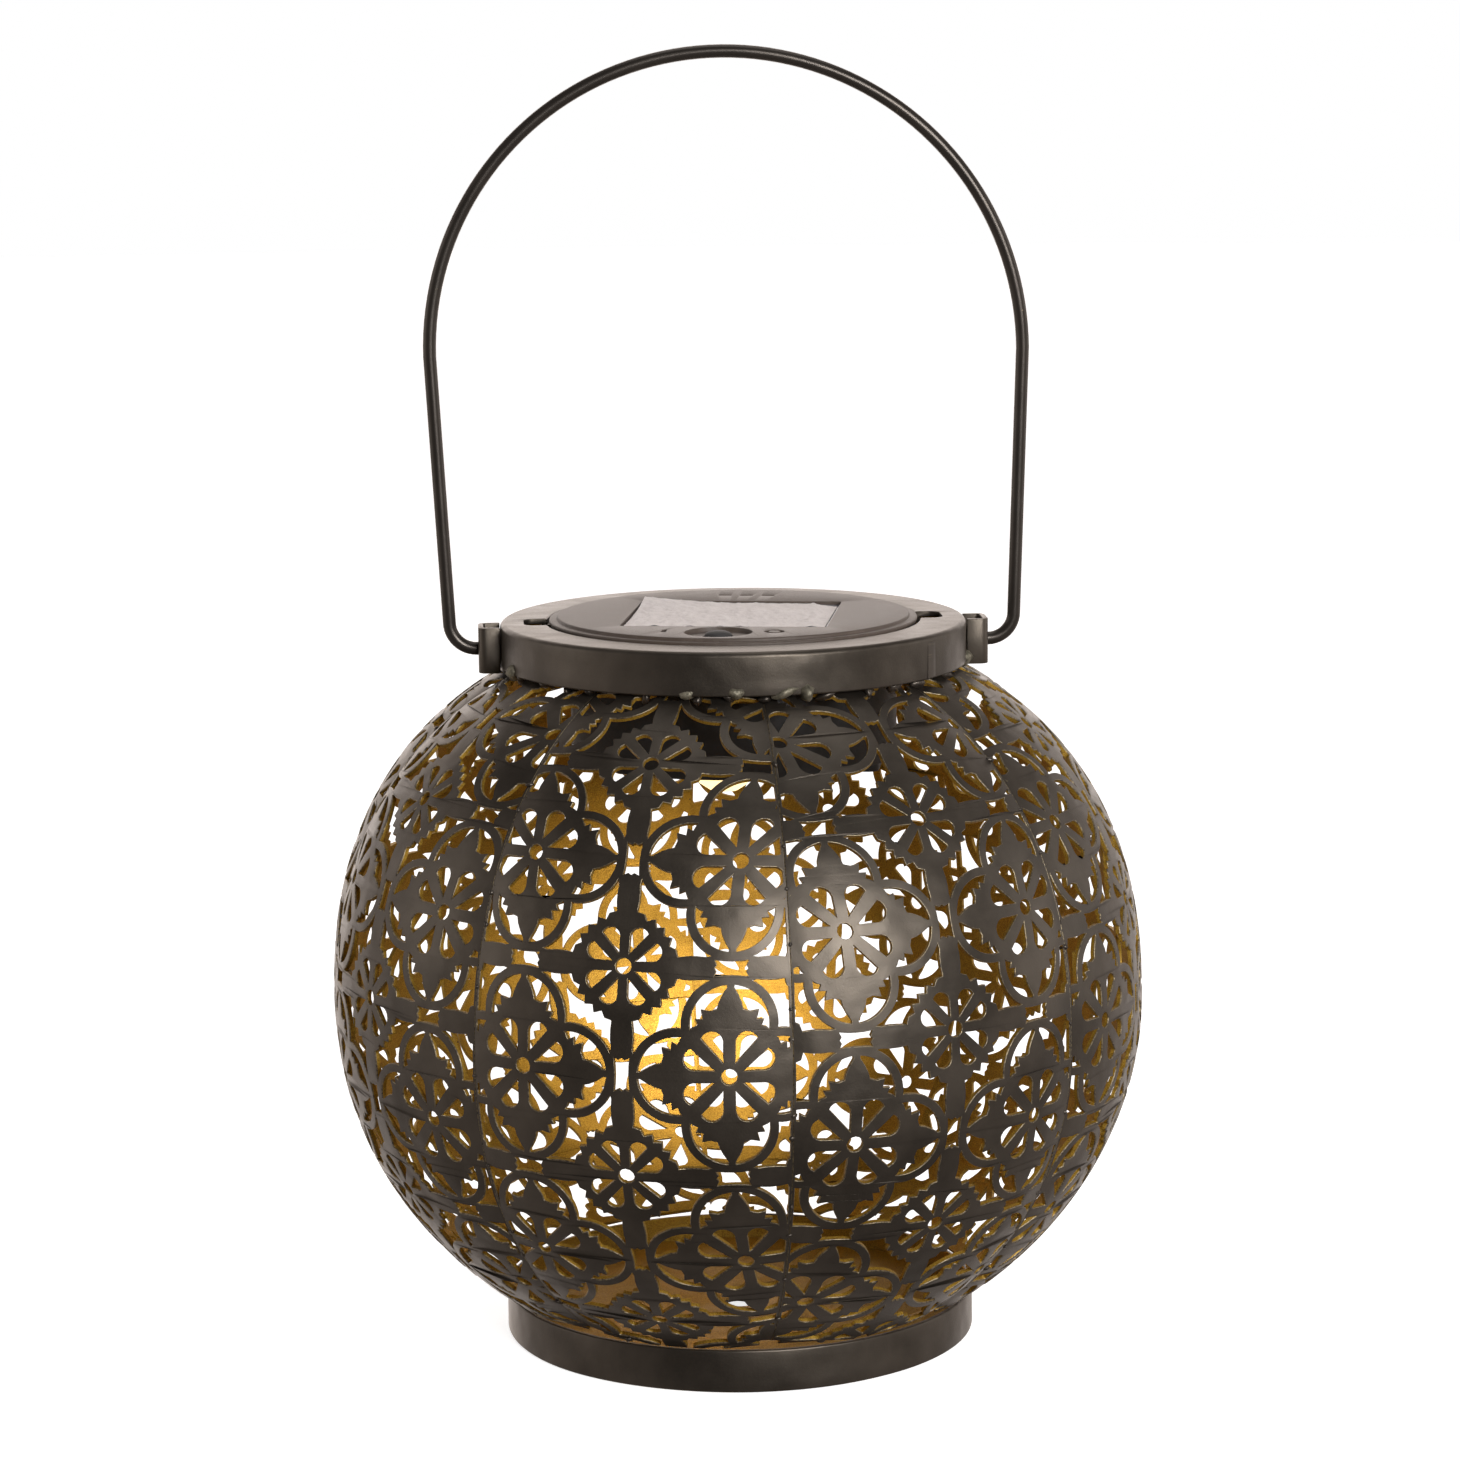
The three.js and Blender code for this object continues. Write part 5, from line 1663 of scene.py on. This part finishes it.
class LANTERN_OT_stage(LanternStep):
    """Sets the floor, the camera and the lights"""

    bl_idname = "lantern.stage"
    bl_label = "Stage"

    def build(self):
        rim = [(x, y, FLOOR_HEIGHT) for x, y in circle(FLOOR_RADIUS, 64)]
        floor = mesh_object("stage_floor", rim, [tuple(range(64))])
        floor.data.materials.append(finish("studio_paper", studio_paper))
        floor.visible_diffuse = floor.visible_glossy = False
        self.camera()
        self.world()
        for name, light in AREA_LIGHTS.items():
            self.area(name, *light)
        self.lamp()

    def lamp(self):
        """The lamp's beam, from just below its lens."""
        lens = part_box("led_lens")
        lamp = bpy.data.lights.new("lamp_glow", "SPOT")
        lamp.energy = LAMP_WATTS
        lamp.color = [LAMP_WARMTH * c + (1 - LAMP_WARMTH) for c in self.colours.glow]
        lamp.spot_size, lamp.spot_blend = LAMP_CONE, 1.0
        lamp.shadow_soft_size = LAMP_RADIUS
        made = add_object("lamp_glow", lamp)
        made.location = ((lens[0] + lens[1]) / 2) + Vector((0, 0, lens[0].z - lens[1].z)) * 0.9
        made.rotation_euler = (LAMP_AIM - made.location).to_track_quat("-Z", "Y").to_euler()

    def area(self, name, place, spread, power):
        light = bpy.data.lights.new(name, "AREA")
        light.shape = "RECTANGLE"
        light.size, light.size_y = spread
        light.energy = power
        made = add_object(name, light)
        made.location = place
        made.rotation_euler = (LIGHT_AIM - Vector(place)).to_track_quat("-Z", "Y").to_euler()

    def camera(self):
        data = bpy.data.cameras.new("camera")
        data.lens, data.sensor_width = CAMERA_LENS, SENSOR_WIDTH
        camera = add_object("camera", data)
        aim = CAMERA_HEADING * math.cos(CAMERA_PITCH) - UP * math.sin(CAMERA_PITCH)
        camera.matrix_world = (
            Matrix.Translation(CAMERA_PLACE)
            @ aim.to_track_quat("-Z", "Y").to_matrix().to_4x4()
            @ Matrix.Rotation(CAMERA_ROLL, 4, "Z")
        )
        bpy.context.scene.camera = camera

    def world(self):
        """White backdrop; what the metal mirrors is darker towards the front."""
        world = bpy.data.worlds.new("studio")
        world.use_nodes = True
        world.node_tree.nodes.clear()
        tree = Tree(world.node_tree.nodes, world.node_tree.links)
        direction = tree.node("ShaderNodeTexCoord", output="Generated")
        side, depth, height = tree.split(direction)
        sides = side.applied("ABSOLUTE")
        below = (-1.0 * height).applied("MAXIMUM", 0.0)
        tone = 0.03 + 2.9 * (depth * 0.5 + 0.5) ** 9.0 + 0.50 * sides ** 5.0 + 0.22 * below
        warm = {"Color": (1.0, 0.90, 0.84, 1), "Strength": tone}
        shade = tree.node("ShaderNodeBackground", inputs=warm)
        white = tree.node("ShaderNodeBackground", inputs={"Color": (1, 1, 1, 1), "Strength": 1.0})
        seen = tree.node("ShaderNodeLightPath")
        mixed = tree.node("ShaderNodeMixShader", inputs={0: seen, 1: shade, 2: white})
        tree.node("ShaderNodeOutputWorld", inputs={"Surface": mixed})
        bpy.context.scene.world = world
        bpy.context.scene.view_settings.view_transform = "Standard"


# ---- Registration and run --------------------------------------------------------------------

STEPS = (
    LANTERN_OT_stage,
    LANTERN_OT_globe,
    LANTERN_OT_welds,
    LANTERN_OT_base,
    LANTERN_OT_collar,
    LANTERN_OT_lugs,
    LANTERN_OT_handle,
    LANTERN_OT_gasket,
    LANTERN_OT_lid,
    LANTERN_OT_cell,
    LANTERN_OT_film,
    LANTERN_OT_button,
    LANTERN_OT_housing,
    LANTERN_OT_electrics,
)
GROUPS = {
    "lantern_globe": LanternGlobeSizes,
    "lantern_bands": LanternBandSizes,
    "lantern_colours": LanternColours,
}


class LANTERN_PT_sidebar(bpy.types.Panel):
    """Lists the lantern's sizes, colours and steps"""

    bl_idname = "LANTERN_PT_sidebar"
    bl_label = "Hanging Lantern"
    bl_space_type = "VIEW_3D"
    bl_region_type = "UI"
    bl_category = "Lantern"

    def draw(self, context):
        for group in GROUPS:
            box = self.layout.box()
            settings = getattr(context.scene, group)
            for name in settings.__annotations__:
                box.prop(settings, name)
        for step in STEPS:
            self.layout.operator(step.bl_idname)


def register():
    for group in GROUPS.values():
        bpy.utils.register_class(group)
    for step in STEPS:
        bpy.utils.register_class(step)
    bpy.utils.register_class(LANTERN_PT_sidebar)
    for name, group in GROUPS.items():
        setattr(bpy.types.Scene, name, PointerProperty(type=group))


def unregister():
    for name in GROUPS:
        delattr(bpy.types.Scene, name)
    for known in (LANTERN_PT_sidebar, *reversed(STEPS), *GROUPS.values()):
        bpy.utils.unregister_class(known)


def main():
    register()
    for step in STEPS:
        category, name = step.bl_idname.split(".")
        getattr(getattr(bpy.ops, category), name)()


if __name__ == "__main__":
    main()
